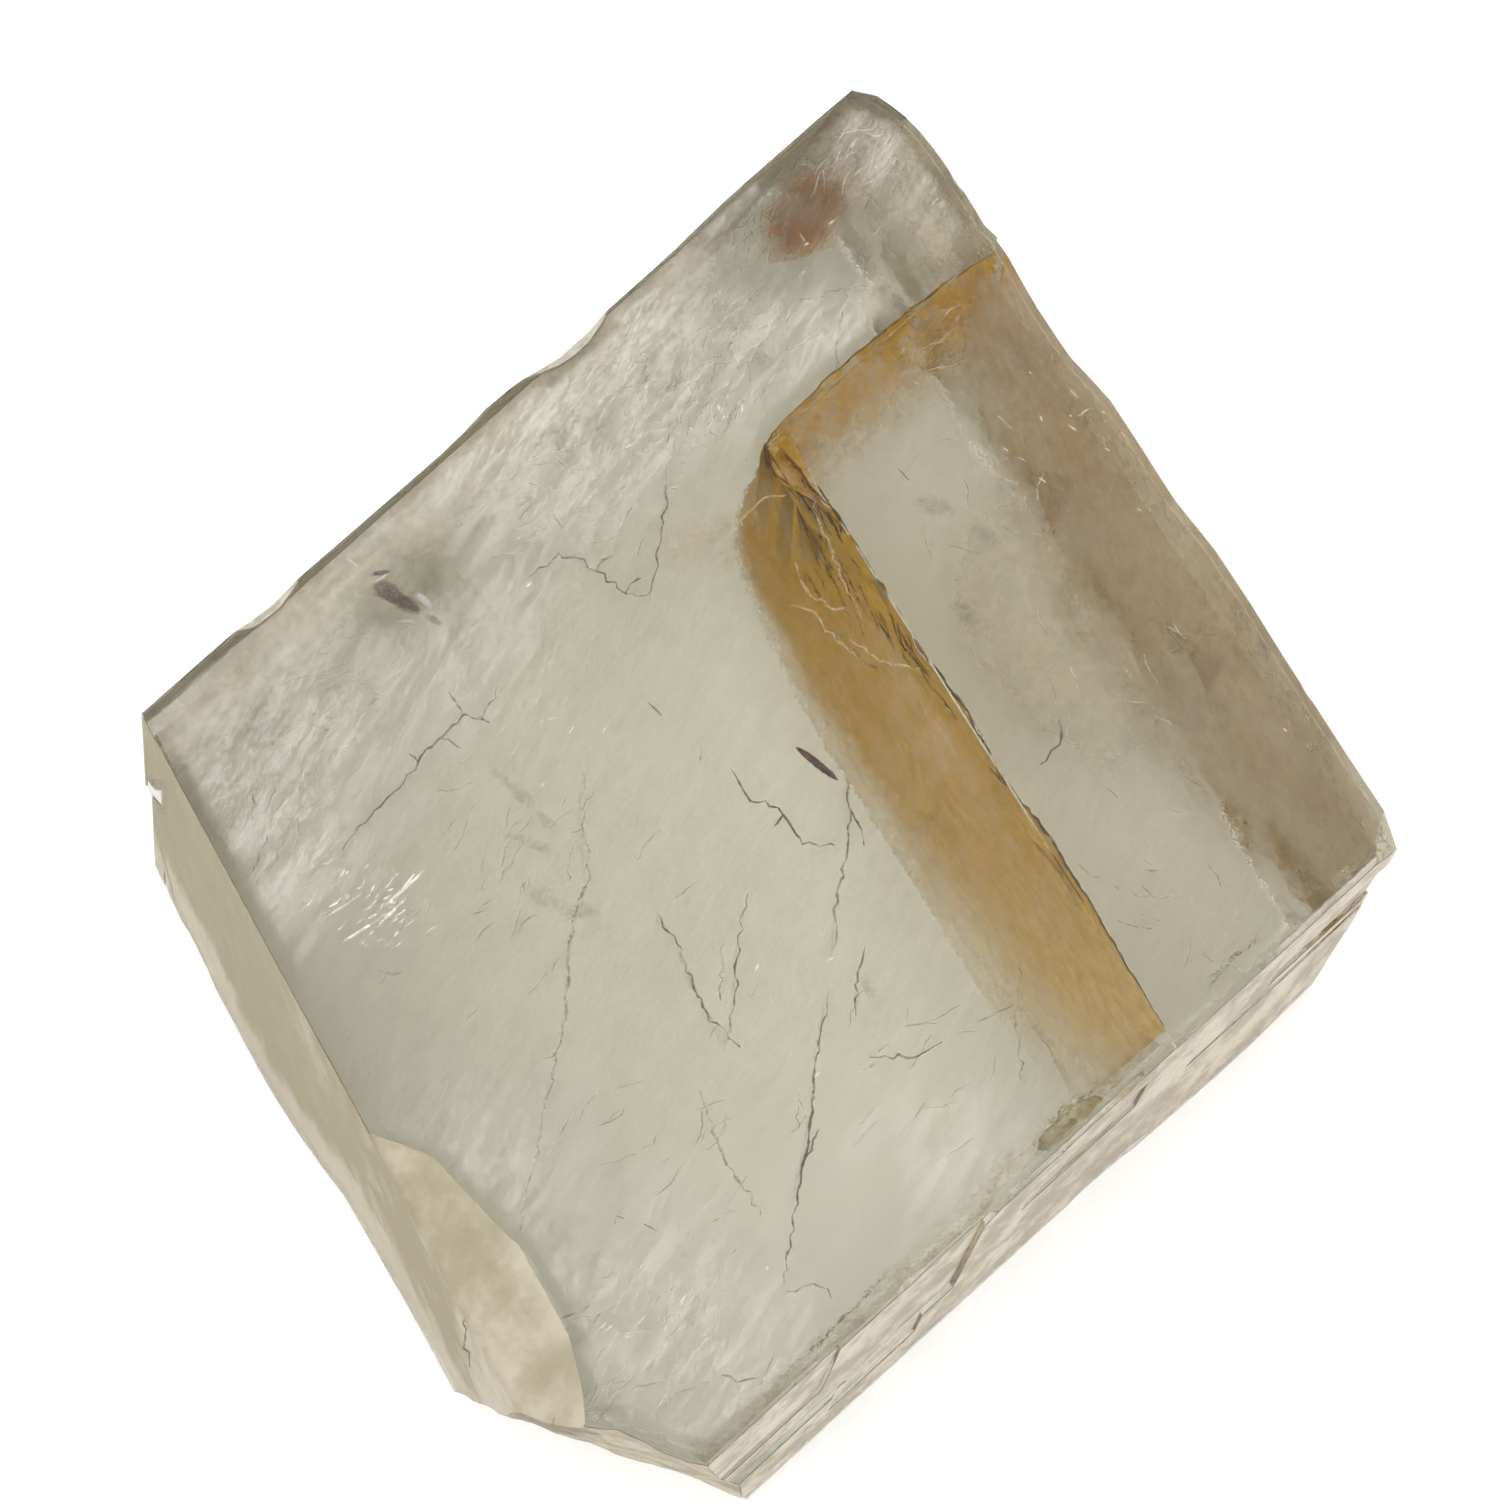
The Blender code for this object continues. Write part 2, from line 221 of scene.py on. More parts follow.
def film(name, first, second, cover, grain, stretch=(1, 1, 1), turn=0.0, ragged=0.5, edge=(0.15, 0.75),
         paling=0.0, fibre=0.0):
    """Thin stain or veil in two screen tones mixed by noise.

    cover is the least and the most that it hides, grain the size of its blotches in mm. It thins out
    where the sheet's own "cover" attribute falls to nothing, along a ragged edge, and paling says how
    far it takes its second tone there. fibre is the share of the fine noise in the mix of the tones.
    """
    material, tree, shader = new_finish(name)
    grained = stone_coordinates(tree, scale=stretch, turn=turn)
    blotch = noise(tree, grained, grain, detail=4, roughness=0.6)
    streak = noise(tree, grained, grain / 5, detail=3, roughness=0.65)
    own = add(tree, "ShaderNodeAttribute", attribute_name="cover").outputs["Fac"]
    thin = maths(tree, "MULTIPLY", maths(tree, "SUBTRACT", 0.7, own), paling)
    coarse = maths(tree, "MULTIPLY", blotch, 1 - fibre)
    grainy = maths(tree, "ADD", coarse, maths(tree, "MULTIPLY", streak, fibre))
    tint = remap(tree, maths(tree, "ADD", grainy, thin), 0.38, 0.62)
    tree.links.new(mixed(tree, tint, tone(*first), tone(*second)), shader.inputs["Base Color"])
    body = maths(tree, "ADD", maths(tree, "MULTIPLY", blotch, 0.6), maths(tree, "MULTIPLY", streak, 0.4))
    strength = remap(tree, body, 0.38, 0.62, *cover)
    held = maths(tree, "MULTIPLY", own, 3.0, clamp=True)
    wander = maths(tree, "MULTIPLY", maths(tree, "SUBTRACT", body, 0.5), ragged)
    wander = maths(tree, "MULTIPLY", wander, held)
    reach = remap(tree, maths(tree, "ADD", own, wander), *edge)
    tree.links.new(maths(tree, "MULTIPLY", strength, reach, clamp=True), shader.inputs["Alpha"])
    shader.inputs["Roughness"].default_value = 0.7
    shader.inputs["Specular IOR Level"].default_value = 0.2
    return material


# Drawing sheets and lines inside the stone

def begin_line(place):
    """Adds one vertex at a place to the mesh in edit mode, alone selected."""
    bpy.ops.mesh.select_all(action="DESELECT")
    bpy.ops.mesh.primitive_plane_add(size=1 * MM, location=place)
    bpy.ops.mesh.merge(type="CENTER")


def draw_line(places):
    """Draws a line of edges by extruding one vertex from place to place."""
    begin_line(places[0])
    for start, end in zip(places, places[1:]):
        bpy.ops.mesh.extrude_vertices_move(TRANSFORM_OT_translate={"value": end - start})


def open_mesh(name):
    """New empty mesh object in edit mode."""
    mesh = bpy.data.meshes.new(name)
    obj = bpy.data.objects.new(name, mesh)
    bpy.context.collection.objects.link(obj)
    only(obj)
    bpy.ops.object.mode_set(mode="EDIT")
    bpy.ops.mesh.select_mode(type="VERT")
    return obj


def soften(obj, rule):
    """Writes how much the sheet covers at each vertex, from 0 to 1, for its film to fade by."""
    cover = obj.data.attributes.new("cover", "FLOAT", "POINT")
    for vertex, entry in zip(obj.data.vertices, cover.data):
        entry.value = rule(vertex.co)


def delete_marked(obj):
    """Deletes the vertices of an object that are selected."""
    for piece in (*obj.data.edges, *obj.data.polygons):
        piece.select = False
    only(obj)
    bpy.ops.object.mode_set(mode="EDIT")
    bpy.ops.mesh.select_mode(type="VERT")
    bpy.ops.mesh.delete(type="VERT")
    bpy.ops.object.mode_set(mode="OBJECT")


def nearest_on_stone(place):
    """Nearest place on the crystal's surface, and the way out there."""
    found, near, normal, face = bpy.data.objects["crystal"].closest_point_on_mesh(place)
    return near, normal


def keep_inside(obj, inset=0.2, reach=0.7):
    """Tucks a sheet in to lie inset mm inside the crystal, and deletes what is over reach mm outside it."""
    for vertex in obj.data.vertices:
        near, normal = nearest_on_stone(vertex.co)
        inside = (near - vertex.co).dot(normal)
        vertex.select = inside < -reach * MM
        if inside < inset * MM:
            vertex.co = near - normal * (inset * MM)
    delete_marked(obj)


def bridged_sheet(name, top_line, foot_line, rows=6, waver=0.0, seed=0):
    """Sheet between two drawn lines of the same number of places."""
    obj = open_mesh(name)
    draw_line(top_line)
    draw_line(foot_line)
    bpy.ops.mesh.select_all(action="SELECT")
    bpy.ops.mesh.bridge_edge_loops(number_cuts=rows, interpolation="LINEAR")
    bpy.ops.mesh.select_all(action="SELECT")
    bpy.ops.mesh.subdivide(number_cuts=1, fractal=waver, seed=seed)
    bpy.ops.object.mode_set(mode="OBJECT")
    bpy.ops.object.shade_smooth()
    return obj


def wave(obj, size, height):
    """Lets a sheet rise and fall by up to height mm, in waves of about size mm."""
    texture = bpy.data.textures.new(obj.name + "_waves", "CLOUDS")
    texture.noise_scale = size * MM
    modifier = obj.modifiers.new("waves", "DISPLACE")
    modifier.texture = texture
    modifier.strength = height * MM
    modifier.texture_coords = "LOCAL"
    only(obj)
    bpy.ops.object.modifier_apply(modifier="waves")


def patch(centre, along, across, turn, cells, tip=(0.0, 0.0), height=0.0):
    """Small soft-rimmed sheet about a place, with its half sizes in mm, turned and tipped by degrees."""
    bpy.ops.object.select_all(action="DESELECT")
    bpy.ops.mesh.primitive_grid_add(x_subdivisions=cells, y_subdivisions=cells, size=2)
    obj = bpy.context.object
    soften(obj, lambda place: max(0.0, 1 - place.length_squared))
    obj.scale = (along * MM, across * MM, 1)
    obj.rotation_euler = (math.radians(tip[0]), math.radians(tip[1]), math.radians(turn))
    obj.location = centre
    settle(obj)
    if height:
        wave(obj, max(along, across), height)
    bpy.ops.object.shade_smooth()
    return obj


def scattered_patches(name, rows, tips, seed, cells=6):
    """Joined small patches, each tipped by its own few degrees; the photograph's x axis is turn 0."""
    pick = random.Random(seed)
    across = math.degrees(math.atan2(RIGHT.y, RIGHT.x))
    parts = []
    for (px, py), along, wide, turn, depth in rows:
        tip = (pick.uniform(-tips, tips), pick.uniform(-tips, tips))
        parts.append(patch(seen_at(px, py, depth), along, wide, across - turn, cells, tip=tip))
    return join(name, parts)


def hair_lines(name, lines, thickness, seed, swing=0.14):
    """Hair-thin tubes in mm along drawn lines with a jagged run, thickest at their middles."""
    pick = random.Random(seed)
    obj = open_mesh(name)
    for line in lines:
        draw_line(jagged(line, pick, swing))
    bpy.ops.object.mode_set(mode="OBJECT")
    bpy.ops.object.convert(target="CURVE")
    obj = bpy.context.object
    obj.data.bevel_depth = thickness / 2 * MM
    obj.data.bevel_resolution = 1
    obj.data.use_fill_caps = True
    for spline in obj.data.splines:
        last = max(1, len(spline.points) - 1)
        for step, point in enumerate(spline.points):
            middle = math.sin(math.pi * min(0.97, max(0.03, step / last)))
            point.radius = (0.25 + 0.75 * middle ** 0.5) * pick.uniform(0.55, 1.15)
    bpy.ops.object.convert(target="MESH")
    obj = bpy.context.object
    obj.name = name
    soften(obj, lambda place: 1.0)
    return obj


def curtain(line, drop, seed):
    """Faint sheet that hangs from a drawn line and fades downwards."""
    obj = open_mesh("curtain")
    draw_line(line)
    bpy.ops.mesh.select_all(action="SELECT")
    bpy.ops.mesh.extrude_edges_move(TRANSFORM_OT_translate={"value": drop})
    bpy.ops.mesh.select_all(action="SELECT")
    bpy.ops.mesh.subdivide(number_cuts=3, fractal=0.12, seed=seed)
    bpy.ops.object.mode_set(mode="OBJECT")
    bpy.ops.object.shade_smooth()
    top = sum(place.z for place in line) / len(line)
    soften(obj, lambda place: clamped(1 - (top - place.z) / -drop.z))
    return obj


def between(first, second, count):
    return [first.lerp(second, step / (count - 1)) for step in range(count)]


def traced(pixels, depth):
    return [seen_at(px, py, depth) for px, py in pixels]


JAG_STEP = 0.35


def jagged(places, pick, swing):
    """The same line in steps of about JAG_STEP mm, each point off it by up to swing mm."""
    line = [places[0]]
    for start, end in zip(places, places[1:]):
        count = max(1, round((end - start).length / (JAG_STEP * MM)))
        for number in range(1, count + 1):
            shift = Vector((pick.uniform(-swing, swing), pick.uniform(-swing, swing), 0)) * MM
            line.append(start.lerp(end, number / count) + (shift if number < count else shift / 3))
    return line


# The stone

def is_cleavage(normal, tolerance=math.radians(1.0)):
    for first, second in ((ALONG_U, ALONG_V), (ALONG_V, ALONG_W), (ALONG_W, ALONG_U)):
        face = first.cross(second).normalized()
        if min(normal.angle(face), normal.angle(-face)) < tolerance:
            return True
    return False


def copied_stone(name):
    """Copy of the solid's mesh, merged, in edit mode with nothing selected."""
    stone = bpy.data.objects.new(name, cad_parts["iceland_spar"].data.copy())
    bpy.context.collection.objects.link(stone)
    only(stone)
    bpy.ops.object.mode_set(mode="EDIT")
    bpy.ops.mesh.select_all(action="SELECT")
    bpy.ops.mesh.remove_doubles(threshold=0.002 * MM)
    bpy.ops.mesh.dissolve_limited(angle_limit=math.radians(0.4))
    bpy.ops.mesh.select_all(action="DESELECT")
    bpy.ops.mesh.select_mode(type="FACE")
    return stone


def make_crystal():
    stone = copied_stone("crystal")
    bpy.ops.object.mode_set(mode="OBJECT")
    for face in stone.data.polygons:
        face.select = not is_cleavage(face.normal)
    bpy.ops.object.mode_set(mode="EDIT")
    bpy.ops.mesh.subdivide(number_cuts=2, fractal=0.03, fractal_along_normal=1, seed=2)
    bpy.ops.mesh.region_to_loop()
    bpy.ops.mesh.mark_sharp()
    bpy.ops.mesh.select_all(action="DESELECT")
    bpy.ops.object.mode_set(mode="OBJECT")
    bpy.ops.object.shade_smooth()
    bpy.ops.object.shade_smooth_by_angle(angle=math.radians(28), keep_sharp_edges=True)
    finish_piece(stone, clear_calcite())
    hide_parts("iceland_spar")


# A wall's film takes the faces that lean from the wall by up to this angle and lie within so many mm of it.
WALL_TURN = math.radians(40)
WALL_RELIEF = 3.0
# Inset of a coat that lies on the outside: dust on the walls, painted light on the back rim.
COAT = -0.04


def wall_normal(first, second, corner):
    """Outward normal of the wall along two directions through a corner."""
    normal = first.cross(second).normalized()
    middle = crystal_place(EDGE_U / 2, EDGE_V / 2, DEPTH_W / 2)
    return normal if (corner - middle).dot(normal) > 0 else -normal


def wall_film(name, corner, along, material, down=ALONG_W, inset=0.07, fade=(0.6, 1.1), turn=WALL_TURN,
              front_pale=0.0):
    """Stain on the wall through a corner: the wall's own faces, sunk by inset mm, or on it if below 0.

    fade gives the depths, as shares of the stone's height, between which it thins out downwards, and
    front_pale how much its cover drops on the way to the front wall.
    """
    outward = wall_normal(along, down, corner)
    obj = copied_stone(name)
    bpy.ops.object.mode_set(mode="OBJECT")
    for face in obj.data.polygons:
        turned_away = face.normal.angle(outward) > turn
        level = abs(face.normal.z) > 0.99 and not 0.5 * MM < face.center.z < TOP - 0.5 * MM
        away = abs((face.center - corner).dot(outward)) > WALL_RELIEF * MM
        face.select = turned_away or level or away
    bpy.ops.object.mode_set(mode="EDIT")
    bpy.ops.mesh.delete(type="FACE")
    bpy.ops.mesh.select_all(action="SELECT")
    bpy.ops.mesh.quads_convert_to_tris()
    bpy.ops.mesh.subdivide(number_cuts=2)
    bpy.ops.transform.shrink_fatten(value=-inset * MM)
    bpy.ops.object.mode_set(mode="OBJECT")
    bpy.ops.object.shade_smooth()
    start, end = fade

    def stain(place):
        forward = clamped((place - LEFT_CORNER).dot(ALONG_V) / (EDGE_V * MM))
        return clamped((end - (TOP - place.z) / TOP) / (end - start)) * (1 - front_pale * forward)

    soften(obj, stain)
    finish_piece(obj, material)


# The iron-stained crack: one sheet under each arm of the L, and its mouth at the top face

LONG_ARM = ((781, 446), (799, 466), (816, 493), (837, 513), (857, 544), (874, 573), (900, 613), (920, 650),
            (960, 700), (1000, 775), (1045, 830), (1098, 915), (1121, 955), (1165, 1030))
SHORT_ARM = ((996, 249), (966, 269), (937, 289), (894, 323), (834, 372), (800, 405), (773, 432))
SHORT_ARM_FOOT = ((1052, 330), (1020, 350), (985, 372), (945, 404), (890, 450), (850, 480), (800, 530))
BEND = ((773, 432), (765, 448), (766, 462), (776, 476), (799, 493), (814, 501))
LONG_ARM_FOOT = ((757, 468), (744, 490), (735, 514), (731, 542), (738, 575), (752, 606), (775, 652),
                 (797, 698), (828, 750), (868, 815), (905, 870), (952, 945), (992, 1010), (1064, 1118))
# Depths in mm under the top face.
LONG_ARM_DEPTH = 13.0
BAND_DEPTH = 14.0
SHORT_ARM_DEPTH = 11.0
CRACK_TOP = 0.42
ALONG_LONG_ARM = math.atan2(-ALONG_V.y, ALONG_V.x)
ALONG_SHORT_ARM = math.atan2(-ALONG_U.y, ALONG_U.x)
GOLD = (224, 172, 6)
STRAW = (234, 200, 128)
OLIVE_BROWN = (92, 70, 34)


def make_long_arm():
    top = traced(LONG_ARM, CRACK_TOP)
    last = len(LONG_ARM_FOOT) - 1
    foot = [seen_at(px, py, LONG_ARM_DEPTH * (1 - 0.6 * (step / last) ** 3))
            for step, (px, py) in enumerate(LONG_ARM_FOOT)]
    obj = bridged_sheet("gold_crack_long_arm", top, foot, rows=7, waver=0.1, seed=3)
    keep_inside(obj, reach=4.0)
    start, length = top[0], (top[-1] - top[0]).length

    def stain(place):
        along = clamped((place - start).dot(ALONG_V) / length)
        deep = (TOP - place.z) / (LONG_ARM_DEPTH * (1 - 0.6 * along ** 3) * MM)
        return clamped((1 - deep) / (0.15 + 0.5 * along)) * (1.0 - 0.32 * along)

    soften(obj, stain)
    material = film("gold_stain", GOLD, STRAW, (0.8, 1.0), 1.6, stretch=(0.35, 1.6, 0.7),
                    turn=ALONG_LONG_ARM, ragged=0.4, edge=(0.0, 0.9), paling=0.5, fibre=0.5)
    finish_piece(obj, material)


def on_line(line, share):
    """Place at a share of the way along a list of places."""
    step = min(0.999, max(0.0, share)) * (len(line) - 1)
    return line[int(step)].lerp(line[int(step) + 1], step - int(step))


STRANDS = 130
STRAND_LIFT = 0.2


def make_gold_strands():
    """Dark fibres in the long arm's stain, close over its sheet and densest at its upper end."""
    pick = random.Random(51)
    top, foot = traced(LONG_ARM, CRACK_TOP), traced(LONG_ARM_FOOT, LONG_ARM_DEPTH)
    lines = []
    for strand in range(STRANDS):
        along, deep = 0.02 + 0.7 * pick.random() ** 1.7, 0.03 + 0.62 * pick.random() ** 1.3
        reach, drift = pick.uniform(0.03, 0.11), pick.uniform(-0.04, 0.06)
        line = []
        for part in (0.0, 0.5, 1.0):
            upper, lower = on_line(top, along + reach * part), on_line(foot, along + reach * part)
            line.append(upper.lerp(lower, deep + drift * part) + Vector((0, 0, STRAND_LIFT * MM)))
        lines.append(line)
    obj = hair_lines("gold_strands", lines, thickness=0.09, swing=0.07, seed=52)
    finish_piece(obj, film("strand_olive", (108, 78, 14), (150, 114, 40), (0.15, 0.7), 0.8))


VEINS = (((765, 462), (776, 468), (786, 482), (797, 490), (812, 494), (830, 500)),
         ((735, 528), (747, 513), (758, 503), (772, 496), (790, 492)),
         ((812, 496), (820, 522), (832, 552), (846, 585), (862, 618)),
         ((795, 560), (806, 590), (826, 606), (850, 612)),
         ((850, 640), (880, 662), (902, 664), (921, 668)),
         ((790, 606), (812, 612), (836, 640), (858, 660)))
VEIN_DEPTH = 0.7


def make_pale_veins():
    """Pale healed cracks that cross the upper end of the stain."""
    lines = [traced(line, VEIN_DEPTH) for line in VEINS]
    obj = hair_lines("pale_veins", lines, thickness=0.15, swing=0.16, seed=53)
    finish_piece(obj, film("vein_cream", (250, 236, 200), (232, 208, 156), (0.1, 0.8), 0.7))


GOLD_SPREAD = (714, 545, 3.0)


def make_gold_spread():
    """Faint tan stain left of the corner of the L."""
    obj = patch(seen_at(*GOLD_SPREAD), 3.2, 1.8, 10, 14, height=0.5)
    obj.name = "gold_spread"
    finish_piece(obj, film("tan_spread", (186, 116, 44), (206, 150, 84), (0.05, 0.24), 1.6,
                           ragged=0.7, edge=(0.0, 0.9)))


def make_short_arm():
    obj = bridged_sheet("gold_crack_short_arm", traced(SHORT_ARM, CRACK_TOP),
                        traced(SHORT_ARM_FOOT, SHORT_ARM_DEPTH), rows=7, waver=0.12, seed=5)
    keep_inside(obj)
    soften(obj, lambda place: max(0.0, 1.25 * (1 - (TOP - place.z) / (SHORT_ARM_DEPTH * MM)) ** 0.8))
    material = film("gold_stain_short", GOLD, STRAW, (0.55, 1.0), 1.6, stretch=(1.5, 0.5, 0.7),
                    turn=ALONG_SHORT_ARM, ragged=0.6, edge=(0.0, 1.0), paling=0.45, fibre=0.4)
    finish_piece(obj, material)


BEND_DEPTH = 1.6
BEND_INNER = ((786, 424), (793, 440), (800, 455), (808, 470), (815, 485), (822, 503))


def make_bend():
    """The stained film across the corner of the L, close under the top face."""
    obj = bridged_sheet("gold_crack_bend", traced(BEND, CRACK_TOP), traced(BEND_INNER, BEND_DEPTH), rows=3,
                        waver=0.08, seed=9)
    keep_inside(obj)
    soften(obj, lambda place: 0.8)
    finish_piece(obj, film("gold_stain_bend", GOLD, STRAW, (0.55, 0.95), 1.2, ragged=0.6,
                           edge=(0.1, 0.75), paling=0.3))


def make_crack_mouth():
    lines = [traced(SHORT_ARM, CRACK_TOP), traced(BEND, CRACK_TOP), traced(LONG_ARM[1:], CRACK_TOP)]
    obj = hair_lines("crack_mouth", lines, thickness=0.13, swing=0.06, seed=7)
    finish_piece(obj, film("crack_mouth_dark", OLIVE_BROWN, (140, 112, 66), (0.35, 0.95), 1.5))


# Stains

# The rust, the haze and the bloom are streaked 60 degrees up from the picture's x.
STREAKS = (0.45, 1.5, 1)
STREAK_TURN = -math.atan2(RIGHT.y, RIGHT.x) - math.radians(60)


def make_right_wall_stain():
    material = film("wall_stain", (222, 206, 176), (232, 220, 196), (0.25, 0.5), 5.0, ragged=0.35,
                    edge=(0.0, 0.7))
    wall_film("right_wall_stain", crystal_place(EDGE_U, 0, 0), ALONG_V, material, inset=0.35,
              fade=(0.35, 0.9))


BAND_FOOT = ((915, 378), (942, 424), (976, 482), (1005, 538), (1036, 598), (1060, 648), (1098, 712),
             (1135, 768), (1182, 824), (1232, 868), (1290, 910))
# The band's top edge runs between these, in mm along the cleavage edges.
BAND_TOP = ((44.3, 10.5, 0.5), (44.3, 45.6, 0.5))


def make_taupe_band():
    """Soft sheet just inside the right wall, from its top edge down to where its stain ends."""
    top = between(crystal_place(*BAND_TOP[0]), crystal_place(*BAND_TOP[1]), len(BAND_FOOT))
    obj = bridged_sheet("taupe_band", top, traced(BAND_FOOT, BAND_DEPTH), rows=9, waver=0.05, seed=21)
    keep_inside(obj, 0.3)
    soften(obj, lambda place: clamped(2.4 * (1 - (TOP - place.z) / (BAND_DEPTH * MM))))
    finish_piece(obj, film("band_stain", (212, 186, 146), (222, 202, 166), (0.42, 0.68), 3.5,
                           ragged=0.35, edge=(0.0, 1.0), fibre=0.3))


def make_left_wall_stain():
    material = film("left_wall_dust", (146, 137, 113), (172, 163, 145), (0.85, 0.97), 7.0,
                    stretch=(1, 1, 0.6), ragged=0.2, edge=(0.0, 0.4), paling=0.9, fibre=0.3)
    wall_film("left_wall_stain", LEFT_CORNER, ALONG_V, material, inset=COAT, turn=math.radians(65),
              front_pale=0.45)


def make_front_wall_frost():
    material = film("front_wall_dust", (158, 149, 134), (182, 173, 158), (0.75, 0.97), 2.2,
                    stretch=(1, 1, 0.5), ragged=0.4, edge=(0.0, 0.5))
    wall_film("front_wall_frost", crystal_place(0, EDGE_V, 0), ALONG_U, material, inset=COAT)


def make_back_wall_frost():
    material = film("back_wall_dust", (196, 190, 168), (208, 200, 178), (0.6, 0.95), 3.0, ragged=0.4,
                    edge=(0.0, 0.5))
    wall_film("back_wall_frost", LEFT_CORNER, ALONG_U, material, turn=math.radians(110))


# Three places on the face of the broken corner, in mm along the cleavage edges: one above and two below.
BROKEN_FACE = ((5.9, 45.8, 0), (10.0, 46.0, 19.5), (0.3, 32.1, 19.5))


def make_broken_corner_frost():
    corner, foot, side = (crystal_place(*place) for place in BROKEN_FACE)
    material = film("broken_corner_dust", (150, 142, 122), (172, 164, 144), (0.7, 0.95), 2.2,
                    ragged=0.4, edge=(0.0, 0.5))
    wall_film("broken_corner_frost", corner, foot - corner, material, down=side - corner, inset=COAT,
              turn=math.radians(20))


SLOPE_OUTER = ((405, 1200), (430, 1245), (457, 1306), (480, 1340), (502, 1376), (514, 1402))
SLOPE_INNER = ((431, 1163), (484, 1222), (518, 1262), (545, 1304), (563, 1345), (576, 1396))


def make_slope_shade():
    """Painted shade inside the slope by the broken corner, a tan darkening that the left wall's dust lies
    over.
    """
    inner = traced(SLOPE_INNER, 1.9)
    obj = bridged_sheet("slope_shade", inner, traced(SLOPE_OUTER, 2.1), rows=5, waver=0.05, seed=14)
    keep_inside(obj, 0.15)

    def away(place):
        nearest = min((place - other).length for other in inner)
        return min(1.0, 0.25 + nearest / (1.6 * MM))

    soften(obj, away)
    # Tan film: painted shade where the stone looks darker through the slope.
    finish_piece(obj, film("slope_painted_shade", (132, 116, 70), (170, 156, 112), (0.08, 0.24), 3.0,
                           ragged=0.3, edge=(0.0, 0.8)))


RUST_UPPER = ((738, 180), (762, 165), (786, 152), (810, 142), (834, 134), (860, 130), (888, 134))
RUST_LOWER = ((745, 262), (770, 264), (792, 261), (812, 254), (830, 248), (852, 244), (880, 238))
RUST_HEART = (808, 214, 2.3)
RUST_END = (850, 160, 2.3)
RUST_REACH, RUST_WIDTH = 3.4, 2.3


def make_far_corner_rust():
    """Red-brown stain near the far corner, an oval that fades towards its rim."""
    obj = bridged_sheet("far_corner_rust", traced(RUST_UPPER, 2.0), traced(RUST_LOWER, 2.6), rows=7,
                        waver=0.1, seed=23)
    heart = seen_at(*RUST_HEART)
    along = (seen_at(*RUST_END) - heart).normalized()

    def stain(place):
        offset = place - heart
        far = offset.dot(along)
        aside = (offset - far * along).length_squared
        return max(0.0, 1.3 * (1 - (far / (RUST_REACH * MM)) ** 2 - aside / (RUST_WIDTH * MM) ** 2))

    soften(obj, stain)
    finish_piece(obj, film("rust_patch", (142, 92, 36), (182, 136, 78), (0.7, 1.0), 1.3,
                           stretch=STREAKS, turn=STREAK_TURN, ragged=0.9, edge=(0.0, 1.1), paling=0.4,
                           fibre=0.4))


EDGE_SHADE = ((1160, 1045), (1075, 1125), (1000, 1190), (980, 1222), (930, 1262), (880, 1315),
              (860, 1328), (800, 1375), (706, 1464))
SHADE_REACH = (26, 20)


def make_front_edge_shade():
    """Olive shade that slopes down inwards from the front edge."""
    inner = [(px - SHADE_REACH[0], py - SHADE_REACH[1]) for px, py in EDGE_SHADE]
    obj = bridged_sheet("front_edge_shade", traced(EDGE_SHADE, 0.5), traced(inner, 1.5), rows=3, waver=0.1,
                        seed=12)
    keep_inside(obj, 0.1)
    top = TOP - 0.5 * MM
    soften(obj, lambda place: max(0.0, 1 - (top - place.z) / (1.0 * MM)))
    finish_piece(obj, film("edge_shade", (190, 166, 116), (172, 146, 98), (0.12, 0.5), 2.0,
                           ragged=0.6, edge=(0.0, 0.9)))


# Veils of fine bubbles that make the stone hazy

# Name, depth in mm, height of the waves in mm, cover and grain.
VEILS = (("haze_upper", 1.3, 0.5, (0.05, 0.24), 1.4),
         ("haze_lower", 9.0, 2.0, (0.00, 0.24), 5.0))
VEIL_WAVES = 9.0
HAZE = 0.42
# Where the haze is thinner: pixel, radius in mm, strength.
CLEAR_SPOTS = (((540, 400), 7.0, -0.4), ((690, 400), 4.5, -0.3), ((830, 335), 2.5, -0.3),
               ((640, 1330), 8.0, -0.4), ((880, 1180), 6.0, -0.3), ((330, 640), 5.0, -0.2),
               ((330, 980), 4.5, -0.2), ((830, 560), 4.5, -0.4), ((900, 690), 4.5, -0.4),
               ((880, 370), 3.0, -0.3), ((1100, 980), 3.5, -0.3), ((1000, 850), 4.0, -0.3),
               ((1080, 430), 4.0, -0.4), ((1180, 600), 4.0, -0.4), ((1280, 760), 4.0, -0.4))


def make_veil(name, depth, height, cover, grain):
    margin = 0.1
    lean = depth / -ALONG_W.z
    far = between(crystal_place(margin, margin, lean), crystal_place(EDGE_U - margin, margin, lean), 20)
    near_v = EDGE_V - margin
    near = between(crystal_place(margin, near_v, lean), crystal_place(EDGE_U - margin, near_v, lean), 20)
    obj = bridged_sheet(name, far, near, rows=18)
    wave(obj, VEIL_WAVES, height)
    keep_inside(obj)

    def rim(place):
        thick = HAZE
        for (px, py), radius, strength in CLEAR_SPOTS:
            thick += strength * math.exp(-((place - seen_at(px, py, depth)).length / (radius * MM)) ** 2)
        inward = (place - nearest_on_stone(place)[0]).length
        return clamped(thick) * min(1.0, inward / (0.5 * MM))

    soften(obj, rim)
    finish_piece(obj, film(name + "_veil", (252, 250, 244), (236, 232, 216), cover, grain,
                           stretch=STREAKS, turn=STREAK_TURN, ragged=0.9, edge=(0.05, 0.95)))
